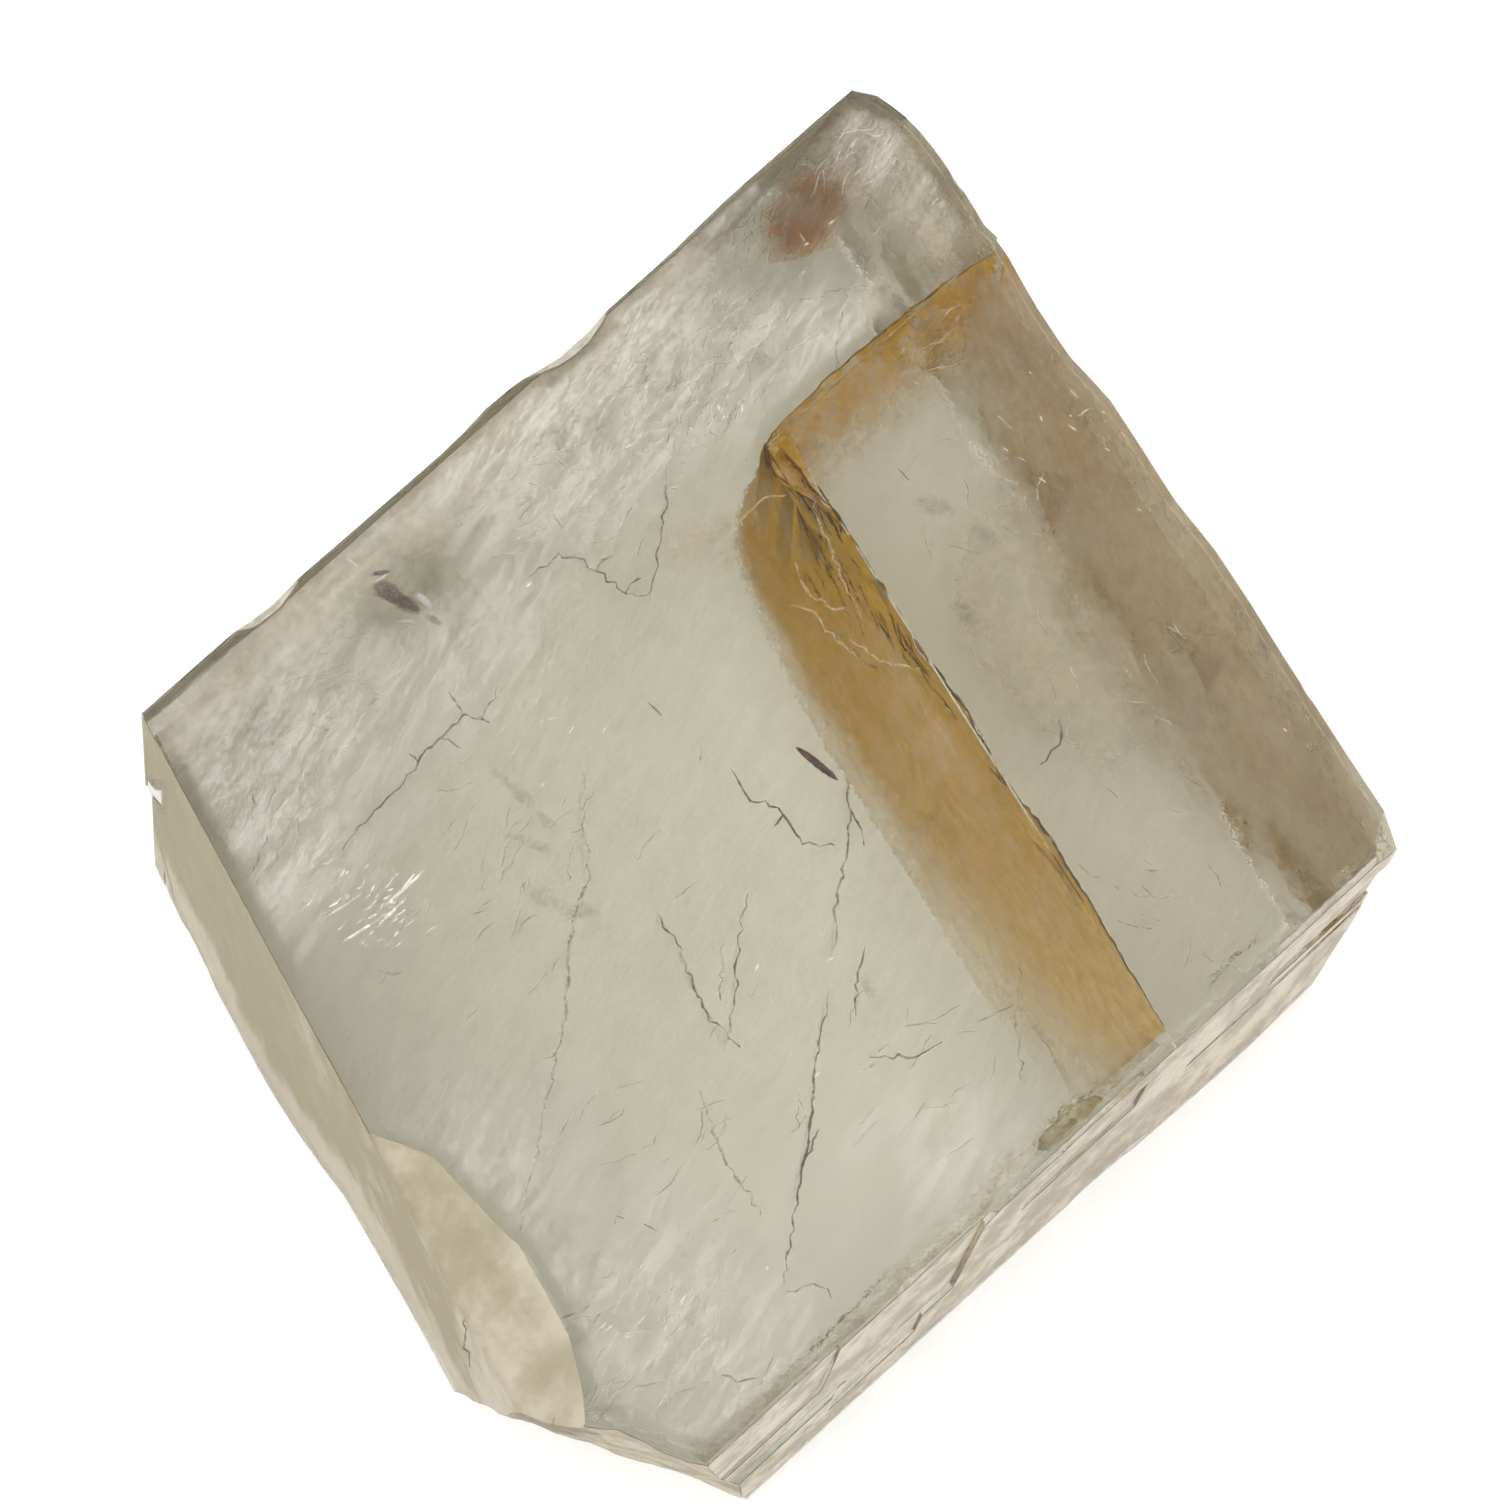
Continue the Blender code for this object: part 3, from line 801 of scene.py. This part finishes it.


# Pale haze on the top face and painted light over the shade seen through it, and the places with less of it:
# pixel, radius in mm, strength.
PAINTED_LIGHT_SPOTS = (((540, 420), 6.0, 0.85), ((690, 390), 4.5, 0.35), ((620, 320), 3.5, 0.3), ((835, 330), 2.4, 0.6),
        ((300, 650), 4.5, 0.15), ((640, 1330), 6.5, 0.45), ((440, 640), 6.0, 0.4),
        ((745, 345), 3.0, 0.35), ((1010, 640), 4.0, 0.2), ((470, 1180), 4.0, 0.4), ((950, 1150), 4.5, 0.35),
        ((880, 140), 2.6, 0.7), ((950, 190), 2.2, 0.5), ((300, 900), 3.5, 0.3), ((780, 1400), 3.0, 0.4),
        ((790, 560), 2.5, -0.3), ((1180, 600), 3.5, -0.3), ((1080, 420), 3.0, -0.3), ((1290, 770), 3.5, -0.2),
        ((930, 320), 2.2, -0.3), ((805, 215), 2.0, -0.3), ((1060, 1040), 3.0, -0.3), ((235, 790), 3.5, 0.55),
        ((300, 745), 3.5, 0.4), ((310, 860), 3.0, 0.3), ((1040, 700), 4.0, 0.5), ((395, 594), 1.8, -0.7),
        ((430, 560), 1.6, -0.4))
PAINTED_LIGHT_ALL_OVER = 0.15
PAINTED_LIGHT_RIGHT_OF_CRACK = 0.75
PAINTED_LIGHT_LIFT = 0.02
PAINTED_LIGHT_RIM = 0.9
PAINTED_LIGHT_MARGIN = 0.3


def make_haze_and_painted_light():
    """Thin milky haze and painted light on the top face, over the shade seen through it, stronger in the part
    beyond the crack.
    """
    last = EDGE_U - PAINTED_LIGHT_MARGIN
    ends = between(crystal_place(PAINTED_LIGHT_MARGIN, PAINTED_LIGHT_MARGIN, 0), crystal_place(last, PAINTED_LIGHT_MARGIN, 0), 40)
    down = ALONG_V * (EDGE_V - 2 * PAINTED_LIGHT_MARGIN) * MM
    obj = bridged_sheet("haze_and_painted_light", ends, [end + down for end in ends], rows=38)

    def on_stone(place):
        return (nearest_on_stone(place)[0] - place).length < 0.1 * MM

    corner, long_end, short_end = (seen_at(*pixel) for pixel in (LONG_ARM[1], LONG_ARM[-1], SHORT_ARM[0]))
    beyond_long = Vector((corner.y - long_end.y, long_end.x - corner.x, 0)).normalized()
    beyond_short = Vector((short_end.y - corner.y, corner.x - short_end.x, 0)).normalized()
    around = [Vector((math.cos(step * math.pi / 4), math.sin(step * math.pi / 4), 0)) * PAINTED_LIGHT_RIM * MM
              for step in range(8)]

    def bloom(place):
        if not all(on_stone(place + step) for step in around):
            return 0.0
        inner = clamped((place - corner).dot(beyond_long) / (0.8 * MM))
        inner *= clamped((place - corner).dot(beyond_short) / (4.0 * MM))
        spots = sum(strength * math.exp(-((place - seen_at(px, py)).length / (radius * MM)) ** 2)
                    for (px, py), radius, strength in PAINTED_LIGHT_SPOTS)
        return max(0.0, PAINTED_LIGHT_ALL_OVER + PAINTED_LIGHT_RIGHT_OF_CRACK * inner + spots)

    soften(obj, bloom)
    for vertex in obj.data.vertices:
        vertex.select = not on_stone(vertex.co)
        vertex.co.z += PAINTED_LIGHT_LIFT * MM
    delete_marked(obj)
    # The pale film is partly milky haze and mostly painted light, lifting the shade of the floor seen through
    # the stone.
    finish_piece(obj, film("haze_and_painted_light_film", (236, 230, 216), (255, 253, 244), (0.08, 0.24), 1.0,
                           stretch=STREAKS, turn=STREAK_TURN, ragged=0.3, edge=(0.0, 0.9), fibre=0.6))


# The strip's width, and where it thins out along the far edge, in mm.
BACK_VEIL_WIDTH = 4.6
BACK_VEIL_END = (30.0, 37.0)


def make_back_edge_veil():
    """Milky strip along the far edge, where the back wall's ledges are hidden from the front."""
    last = EDGE_U - 0.2
    far = between(crystal_place(0.2, 0.15, 0.3), crystal_place(last, 0.15, 0.3), 30)
    near = between(crystal_place(0.2, BACK_VEIL_WIDTH, 0.9), crystal_place(last, BACK_VEIL_WIDTH, 0.9), 30)
    obj = bridged_sheet("back_edge_veil", far, near, rows=6, waver=0.05, seed=25)
    keep_inside(obj, 0.12)
    outward = wall_normal(ALONG_U, ALONG_W, LEFT_CORNER)
    start, end = BACK_VEIL_END

    def milk(place):
        inward = (LEFT_CORNER - place).dot(outward) / (BACK_VEIL_WIDTH * MM)
        clear = ((place - LEFT_CORNER).dot(ALONG_U) / MM - start) / (end - start)
        return clamped(1.4 * (1 - inward)) * clamped(1 - clear)

    soften(obj, milk)
    finish_piece(obj, film("back_edge_milk", (226, 218, 196), (236, 228, 208), (0.55, 0.75), 2.5,
                           ragged=0.4, edge=(0.0, 1.0)))


# Painted light: a pale coat on the back rim, over a strip that would show dark in shade.
def make_back_rim_painted_light():
    """Matte pale coat on the worn rim between the top face and the back wall: painted light over a strip that
    shows dark in shade.
    """
    material = film("back_rim_painted_light", (176, 169, 150), (192, 185, 168), (0.6, 0.9), 1.6,
                    ragged=0.4, edge=(0.0, 0.6))
    wall_film("back_rim", LEFT_CORNER, ALONG_U, material, inset=COAT, fade=(0.03, 0.10),
              turn=math.radians(100))


FOOT_HAZE = (1062, 630, 15.0)


def make_foot_haze():
    """Cloud of bubbles low down beside the right wall."""
    obj = patch(seen_at(*FOOT_HAZE), 9.0, 4.6, -50.0, 20, height=0.3)
    obj.name = "foot_haze"
    keep_inside(obj)
    finish_piece(obj, film("foot_veil", (255, 253, 246), (246, 243, 232), (0.6, 0.8), 2.0,
                           ragged=0.3, edge=(0.0, 0.9)))


# Small patches: pixel, half length and half width in mm, degrees down from the picture's x, depth in mm.
MILKY_SPOTS = (((888, 308), 2.8, 1.5, 60, 2.2), ((932, 238), 2.6, 1.0, 62, 2.0))


def make_milky_spots():
    """Soft pale spots where the walls would show dark through the top face."""
    obj = scattered_patches("milky_spots", MILKY_SPOTS, 4, 49)
    keep_inside(obj)
    finish_piece(obj, film("milky_spot", (246, 238, 220), (228, 214, 188), (0.35, 0.6), 1.2,
                           ragged=0.4, edge=(0.0, 1.0)))


# Fine cracks, each with its depth in mm and its line in the photograph

HAIR_CRACKS = (
    (1.0, ((553, 514), (559, 521), (563, 529))),
    (1.5, ((523, 584), (559, 554), (579, 558), (596, 571), (625, 594), (639, 596))),
    (1.5, ((639, 596), (652, 591), (656, 560), (662, 531), (668, 465))),
    (2.0, ((500, 686), (483, 716), (462, 716), (439, 739), (419, 762), (393, 793), (375, 811), (355, 834),
           (341, 852))),
    (1.2, ((259, 773), (254, 803), (253, 819))),
    (1.2, ((267, 834), (258, 862), (253, 872))),
    (2.0, ((276, 785), (267, 813))),
    (2.0, ((299, 819), (301, 836))),
    (2.0, ((731, 769), (750, 802), (766, 801), (783, 815), (797, 835), (803, 845), (835, 845))),
    (2.5, ((847, 780), (852, 812), (847, 852), (837, 896), (833, 950))),
    (3.0, ((829, 990), (817, 1057), (813, 1111), (802, 1165), (798, 1191), (790, 1237), (783, 1283))),
    (2.0, ((657, 913), (677, 944), (691, 976), (708, 1013), (728, 1038), (740, 1048))),
    (2.0, ((748, 893), (738, 944), (734, 1002), (730, 1033))),
    (1.5, ((1061, 713), (1059, 744), (1038, 763))),
    (1.5, ((866, 944), (858, 973), (856, 1016))),
    (1.5, ((869, 1057), (913, 1057), (943, 1042))),
    (1.5, ((642, 1223), (655, 1229))),
    (1.5, ((616, 1216), (625, 1218))),
    (1.5, ((783, 1295), (813, 1283), (832, 1297))),
    (1.5, ((721, 1375), (737, 1383), (756, 1377))),
    (1.5, ((464, 1305), (458, 1320), (465, 1363))),
    (1.5, ((648, 702), (655, 708), (662, 715))),
    (1.9, ((462, 716), (455, 700), (450, 692))),
    (1.9, ((439, 739), (452, 742), (462, 748))),
    (1.9, ((419, 762), (410, 755))),
    (1.9, ((470, 717), (489, 722))),
    (1.9, ((783, 815), (774, 826))),
    (1.4, ((596, 571), (604, 560), (612, 556))),
    (1.4, ((625, 594), (630, 584), (642, 578))),
    (2.9, ((802, 1165), (812, 1150), (818, 1130))),
    (2.4, ((852, 812), (862, 830), (864, 846))),
)
FAINT_CRACKS = (
    (5.0, ((588, 755), (580, 800), (590, 873), (573, 924), (568, 987), (562, 1030), (540, 1130),
           (520, 1230))),
    (4.0, ((723, 944), (720, 1002))),
    (3.0, ((845, 290), (841, 330), (835, 370))),
    (3.0, ((790, 310), (788, 350))),
    (3.0, ((800, 300), (835, 292), (870, 283))),
    (5.0, ((700, 1090), (716, 1140), (760, 1215))),
    (4.0, ((1020, 960), (1016, 1030), (1022, 1080))),
    (4.0, ((905, 640), (960, 700), (1004, 775))),
    (4.0, ((820, 620), (870, 665), (930, 700))),
)
# Faint sheets that hang from cracks: depth of the top and height in mm, and the line.
HANGING = (
    (1.5, 3.0, ((639, 596), (652, 591), (656, 560), (662, 531), (668, 465))),
    (2.5, 4.0, ((847, 780), (852, 812), (847, 852), (837, 896), (833, 950))),
    (3.0, 5.0, ((829, 990), (817, 1057), (813, 1111), (802, 1165), (798, 1191))),
    (2.0, 3.0, ((748, 893), (738, 944), (734, 1002), (730, 1033))),
    (1.5, 2.0, ((866, 944), (858, 973), (856, 1016))),
    (5.0, 6.0, ((588, 755), (580, 800), (590, 873), (573, 924), (568, 987), (562, 1030), (540, 1130))),
    (2.0, 3.0, ((657, 913), (677, 944), (691, 976), (708, 1013), (728, 1038))),
)
CURTAIN_TILT = Vector((0.12, -0.10, 0))
# Dark lines of painted shadow under ledges on the front wall, in mm along its edge and down it.
FRONT_LEDGE_SHADOW_LINES = (
    ((21.1, 17.3), (18.5, 15.4), (15.9, 13.5), (13.4, 11.3), (11.8, 10.7)),
    ((38.4, 9.0), (37.9, 10.5)),
    ((42.2, 14.5), (41.1, 15.0), (39.8, 16.5)),
    ((36.0, 12.0), (32.0, 13.2), (28.0, 13.9), (25.0, 15.0)),
)


def make_hair_cracks():
    lines = [traced(pixels, depth) for depth, pixels in HAIR_CRACKS]
    obj = hair_lines("hair_cracks", lines, thickness=0.11, seed=31)
    finish_piece(obj, film("crack_dark", (78, 68, 50), (134, 124, 100), (0.12, 1.0), 1.3))


def make_faint_cracks():
    lines = [traced(pixels, depth) for depth, pixels in FAINT_CRACKS]
    obj = hair_lines("faint_cracks", lines, thickness=0.12, seed=33)
    finish_piece(obj, film("crack_faint", (140, 132, 108), (170, 164, 140), (0.05, 0.45), 1.5))


def make_crack_curtains():
    parts = []
    for seed, (depth, fall, pixels) in enumerate(HANGING):
        drop = (ALONG_W + CURTAIN_TILT).normalized() * fall * MM
        parts.append(curtain(traced(pixels, depth), drop, seed))
    obj = join("crack_curtains", parts)
    finish_piece(obj, film("crack_veil", (206, 202, 184), (130, 124, 100), (0.04, 0.24), 1.2,
                           ragged=0.8, edge=(0.1, 1.0)))


# Painted shadow: dark hair lines where the ledges of the front wall cast shade.
def make_ledge_shadow_lines():
    lines = [[crystal_place(u, EDGE_V - 0.6, w) for u, w in line] for line in FRONT_LEDGE_SHADOW_LINES]
    obj = hair_lines("front_ledge_shadows", lines, thickness=0.08, swing=0.08, seed=35)
    finish_piece(obj, film("ledge_painted_shadow", (110, 98, 72), (160, 148, 120), (0.3, 0.95), 1.5))


# Clusters of fine wisps close under the top face: pixel, radius in mm, how many, degrees up from the
# picture's x.
WISPS = (((680, 400), 4.0, 46, 62), ((600, 350), 3.2, 26, 30), ((560, 450), 4.5, 30, 20),
         ((740, 330), 2.2, 22, 50), ((840, 160), 2.6, 26, 60), ((760, 230), 1.6, 18, 75),
         ((330, 700), 4.5, 24, 35), ((520, 900), 6.0, 24, 60), ((700, 1130), 6.0, 16, 55),
         ((620, 1340), 4.5, 26, 40), ((1130, 640), 4.0, 14, -50), ((1010, 480), 3.5, 14, -60),
         ((930, 1050), 4.0, 10, 40), ((1160, 880), 3.5, 12, -45), ((930, 330), 2.0, 14, 45))
WISP_DEPTHS = (0.4, 3.0)
WISP_LENGTHS = (0.5, 1.9)
WISP_SPREAD = 24
WISP_FLATNESS = 0.3
# Name, finish, its two tones, cover, seed, and the share of each cluster's count.
WISP_KINDS = (("dark_wisps", "wisp_grey", (118, 108, 84), (160, 152, 130), (0.05, 0.42), 61, 1.0),
              ("pale_wisps", "wisp_pale", (255, 252, 240), (236, 230, 210), (0.15, 0.8), 63, 0.7))


def make_wisps(name, finish, first, second, cover, seed, share):
    """Short faint lines scattered in the clusters."""
    pick = random.Random(seed)
    lines = []
    for (px, py), radius, count, turn in WISPS:
        for number in range(round(count * share)):
            depth = pick.uniform(*WISP_DEPTHS)
            offset = Vector((pick.gauss(0, 0.5), pick.gauss(0, 0.5), 0)) * radius * MM
            middle = seen_at(px, py, depth) + offset
            angle = math.radians(turn + pick.gauss(0, WISP_SPREAD))
            reach = (RIGHT * math.cos(angle) + UP * math.sin(angle)) * pick.uniform(*WISP_LENGTHS) * MM
            reach.z *= WISP_FLATNESS
            bow = Vector((-reach.y, reach.x, 0)) * pick.uniform(-0.12, 0.12)
            lines.append([middle - reach / 2, middle + bow, middle + reach / 2])
    obj = hair_lines(name, lines, thickness=0.075, swing=0.08, seed=seed + 1)
    keep_inside(obj, reach=0.2)
    finish_piece(obj, film(finish, first, second, cover, 0.8))


# Inclusions

NEEDLE_ENDS = ((796, 747, 2.2), (838, 780, 2.8))
NEEDLE_RADIUS = 0.17


def make_needle():
    bpy.ops.object.select_all(action="DESELECT")
    start, end = (seen_at(*place) for place in NEEDLE_ENDS)
    length = (end - start).length
    bpy.ops.mesh.primitive_cylinder_add(vertices=10, radius=NEEDLE_RADIUS * MM, depth=length,
                                        location=(start + end) / 2)
    obj = bpy.context.object
    obj.name = "needle"
    bpy.ops.object.mode_set(mode="EDIT")
    bpy.ops.mesh.subdivide(number_cuts=6)
    bpy.ops.object.mode_set(mode="OBJECT")
    for vertex in obj.data.vertices:
        share = abs(vertex.co.z) / (length / 2)
        slim = math.sqrt(max(0.05, 1 - share ** 2.5))
        vertex.co.x *= slim
        vertex.co.y *= slim
    obj.rotation_euler = (end - start).to_track_quat("Z", "Y").to_euler()
    soften(obj, lambda place: 1.0)
    bpy.ops.object.shade_smooth()
    finish_piece(obj, film("needle_rust", (70, 42, 36), (110, 74, 62), (0.8, 1.0), 0.5))


# More patches, in rows like those of the milky spots.
SMUDGES = (((265, 715), 2.2, 1.2, 60, 3.0), ((500, 775), 0.9, 0.35, 55, 1.5),
           ((522, 795), 1.0, 0.4, 48, 1.5), ((548, 824), 1.0, 0.35, 50, 1.5),
           ((532, 843), 1.6, 0.3, 25, 1.5), ((548, 898), 1.2, 0.55, 28, 2.0),
           ((580, 911), 1.1, 0.45, 10, 2.0), ((868, 985), 0.9, 0.35, 70, 2.0),
           ((935, 505), 1.3, 0.6, 30, 4.0), ((985, 535), 1.2, 0.5, 40, 4.0),
           ((965, 612), 1.0, 0.5, 40, 4.0), ((735, 320), 1.6, 0.8, 45, 4.0),
           ((755, 350), 1.6, 0.7, 55, 4.0), ((492, 1300), 2.2, 0.6, 80, 3.0))
LENS = (((388, 591), 0.95, 0.55, 34, 0.5), ((408, 605), 0.95, 0.46, 34, 0.5),
        ((398, 599), 1.4, 0.4, 33, 0.5), ((434, 620), 0.6, 0.22, 36, 0.5), ((380, 573), 0.6, 0.14, -5, 0.5))
LENS_SHADE = (((420, 562), 2.4, 1.0, 64, 3.0), ((362, 570), 1.2, 0.5, 20, 3.0),
              ((398, 532), 1.2, 0.7, 50, 3.0), ((444, 606), 1.0, 0.4, 70, 2.4))
LENS_GLEAM = (((381, 578), 0.5, 0.08, -28, 0.3), ((424, 600), 0.7, 0.2, 46, 0.3),
              ((406, 621), 0.5, 0.09, 8, 0.3), ((352, 562), 0.6, 0.09, 40, 0.3))


def make_silver_lens():
    """Flat dark flake with pale gleams, in an olive shade."""
    flake = scattered_patches("silver_lens", LENS, 14, 45)
    finish_piece(flake, film("silver_flake", (108, 92, 80), (150, 136, 124), (0.6, 1.0), 0.45,
                             ragged=1.2, edge=(0.0, 0.8), fibre=0.4))
    gleam = scattered_patches("lens_gleam", LENS_GLEAM, 8, 46)
    finish_piece(gleam, film("flake_gleam", (255, 253, 250), (222, 218, 222), (0.5, 1.0), 0.4, ragged=1.0,
                             edge=(0.1, 0.7)))
    shade = scattered_patches("lens_shade", LENS_SHADE, 10, 47)
    finish_piece(shade, film("olive_shade", (64, 58, 24), (92, 86, 50), (0.1, 0.24), 1.2, ragged=0.6,
                             edge=(0.0, 0.8)))


def make_smudges():
    obj = scattered_patches("grey_smudges", SMUDGES, 20, 41)
    finish_piece(obj, film("grey_smudge", (66, 56, 38), (104, 92, 66), (0.05, 0.3), 0.5,
                           ragged=0.9, edge=(0.0, 0.9)))


# The larger flecks: pixel, half length and half width in mm, degrees down from the picture's x.
BRIGHT = (((403, 890), 1.4, 0.12, -40), ((392, 912), 1.2, 0.1, -44), ((365, 928), 1.5, 0.09, -30),
          ((345, 905), 1.1, 0.07, -30), ((408, 882), 0.7, 0.08, -52), ((803, 238), 0.3, 0.08, 60),
          ((807, 244), 0.16, 0.06, -20), ((832, 222), 0.26, 0.05, -30), ((877, 232), 0.4, 0.06, -60),
          ((1083, 413), 0.34, 0.07, -35), ((605, 730), 0.22, 0.08, -60), ((935, 202), 0.3, 0.04, -50),
          ((1108, 450), 0.2, 0.04, 40), ((1140, 510), 0.15, 0.04, 30), ((1285, 730), 0.18, 0.04, 50))
# Fields of small flecks: pixel, radius in mm, how many, degrees down from the picture's x.
FLECK_FIELDS = (((385, 905), 2.4, 60, -42), ((325, 885), 2.0, 24, -35), ((700, 380), 3.5, 22, -60),
                ((590, 470), 4.0, 16, -30), ((840, 1000), 5.0, 12, -60), ((560, 720), 4.0, 10, -45),
                ((640, 1330), 4.0, 12, -40), ((1060, 430), 3.0, 8, 55))
FLECK_LIFT = 0.03


def make_glints():
    """Pale flecks on the top face, where tiny cleavage steps catch the light."""
    pick = random.Random(44)
    rows = [(*row, -FLECK_LIFT) for row in BRIGHT]
    for (px, py), radius, count, turn in FLECK_FIELDS:
        spread = radius / PIXEL_MM
        for number in range(count):
            place = (px + pick.gauss(0, 0.45) * spread, py + pick.gauss(0, 0.45) * spread)
            rows.append((place, pick.uniform(0.08, 0.34), pick.uniform(0.02, 0.05), turn + pick.gauss(0, 18),
                         -FLECK_LIFT))
    obj = scattered_patches("bright_glints", rows, 0.5, 43, cells=4)
    finish_piece(obj, film("bright_flake", (204, 200, 184), (226, 222, 210), (0.2, 0.9), 0.3,
                           ragged=0.9, edge=(0.0, 0.9)))


# Stage

FLOOR_SIZE = 3.0
FLOOR_DROP = 0.05
DOME_STRENGTH = 1.56


def make_floor():
    bpy.ops.object.select_all(action="DESELECT")
    bpy.ops.mesh.primitive_plane_add(size=FLOOR_SIZE, location=(0, 0, -FLOOR_DROP * MM))
    floor = bpy.context.object
    floor.name = "floor"
    material, tree, shader = new_finish("pale_floor")
    shader.inputs["Base Color"].default_value = (0.93, 0.93, 0.93, 1)
    shader.inputs["Roughness"].default_value = 0.8
    floor.data.materials.append(material)


def cone(tree, direction, axis, inner, outer, inside, outside):
    """Value inside a cone of directions about an axis, changing to another outside it, in degrees."""
    dot = add(tree, "ShaderNodeVectorMath", {0: direction, 1: axis.normalized()}, operation="DOT_PRODUCT")
    return remap(tree, dot.outputs["Value"], math.cos(math.radians(outer)), math.cos(math.radians(inner)),
                 outside, inside)


def make_light():
    """Soft white dome, brighter from the front right, with a dark card where the top face mirrors it."""
    scene = bpy.context.scene
    world = bpy.data.worlds.new("soft_studio")
    scene.world = world
    world.use_nodes = True
    tree = world.node_tree
    direction = tree.nodes.new("ShaderNodeTexCoord").outputs["Generated"]
    mirrored = Vector((-BACK.x, -BACK.y, BACK.z))
    card = cone(tree, direction, mirrored, 10, 20, 0.25, 1.0)
    window = cone(tree, direction, Vector((0.6, -0.9, 0.35)), 15, 70, 1.35, 1.0)
    dim = cone(tree, direction, Vector((-1.0, 0.1, 0.15)), 20, 80, 0.75, 1.0)
    height = add(tree, "ShaderNodeSeparateXYZ", {0: direction}).outputs["Z"]
    overhead = remap(tree, height, 0.05, 0.75, 0.72, 1.18)
    front, rest = maths(tree, "MULTIPLY", card, window), maths(tree, "MULTIPLY", dim, overhead)
    strength = maths(tree, "MULTIPLY", maths(tree, "MULTIPLY", front, rest), DOME_STRENGTH)
    background = tree.nodes["Background"]
    tree.links.new(strength, background.inputs["Strength"])
    background.inputs["Color"].default_value = (1, 1, 1, 1)
    world.cycles.sampling_method = "NONE"
    scene.view_settings.view_transform = "Standard"
    scene.cycles.max_bounces = 14
    scene.cycles.transmission_bounces = 12
    scene.cycles.transparent_max_bounces = 24
    scene.cycles.adaptive_threshold = 0.25


def make_camera():
    data = bpy.data.cameras.new("camera")
    data.sensor_width = 36.0
    data.lens = data.sensor_width * FOCAL_PIXELS / PICTURE
    data.clip_start = 0.01
    camera = bpy.data.objects.new("camera", data)
    bpy.context.collection.objects.link(camera)
    camera.matrix_world = Matrix.Translation(CAMERA_PLACE) @ Matrix((RIGHT, UP, BACK)).transposed().to_4x4()
    bpy.context.scene.camera = camera


make_camera()
make_crystal()
make_long_arm()
make_short_arm()
make_bend()
make_gold_strands()
make_pale_veins()
make_gold_spread()
make_crack_mouth()
make_right_wall_stain()
make_taupe_band()
make_left_wall_stain()
make_front_wall_frost()
make_back_wall_frost()
make_broken_corner_frost()
make_slope_shade()
make_far_corner_rust()
make_front_edge_shade()
for veil in VEILS:
    make_veil(*veil)
make_haze_and_painted_light()
make_back_edge_veil()
make_back_rim_painted_light()
make_foot_haze()
make_milky_spots()
make_hair_cracks()
make_faint_cracks()
make_crack_curtains()
make_ledge_shadow_lines()
for kind in WISP_KINDS:
    make_wisps(*kind)
make_needle()
make_silver_lens()
make_smudges()
make_glints()
make_floor()
make_light()
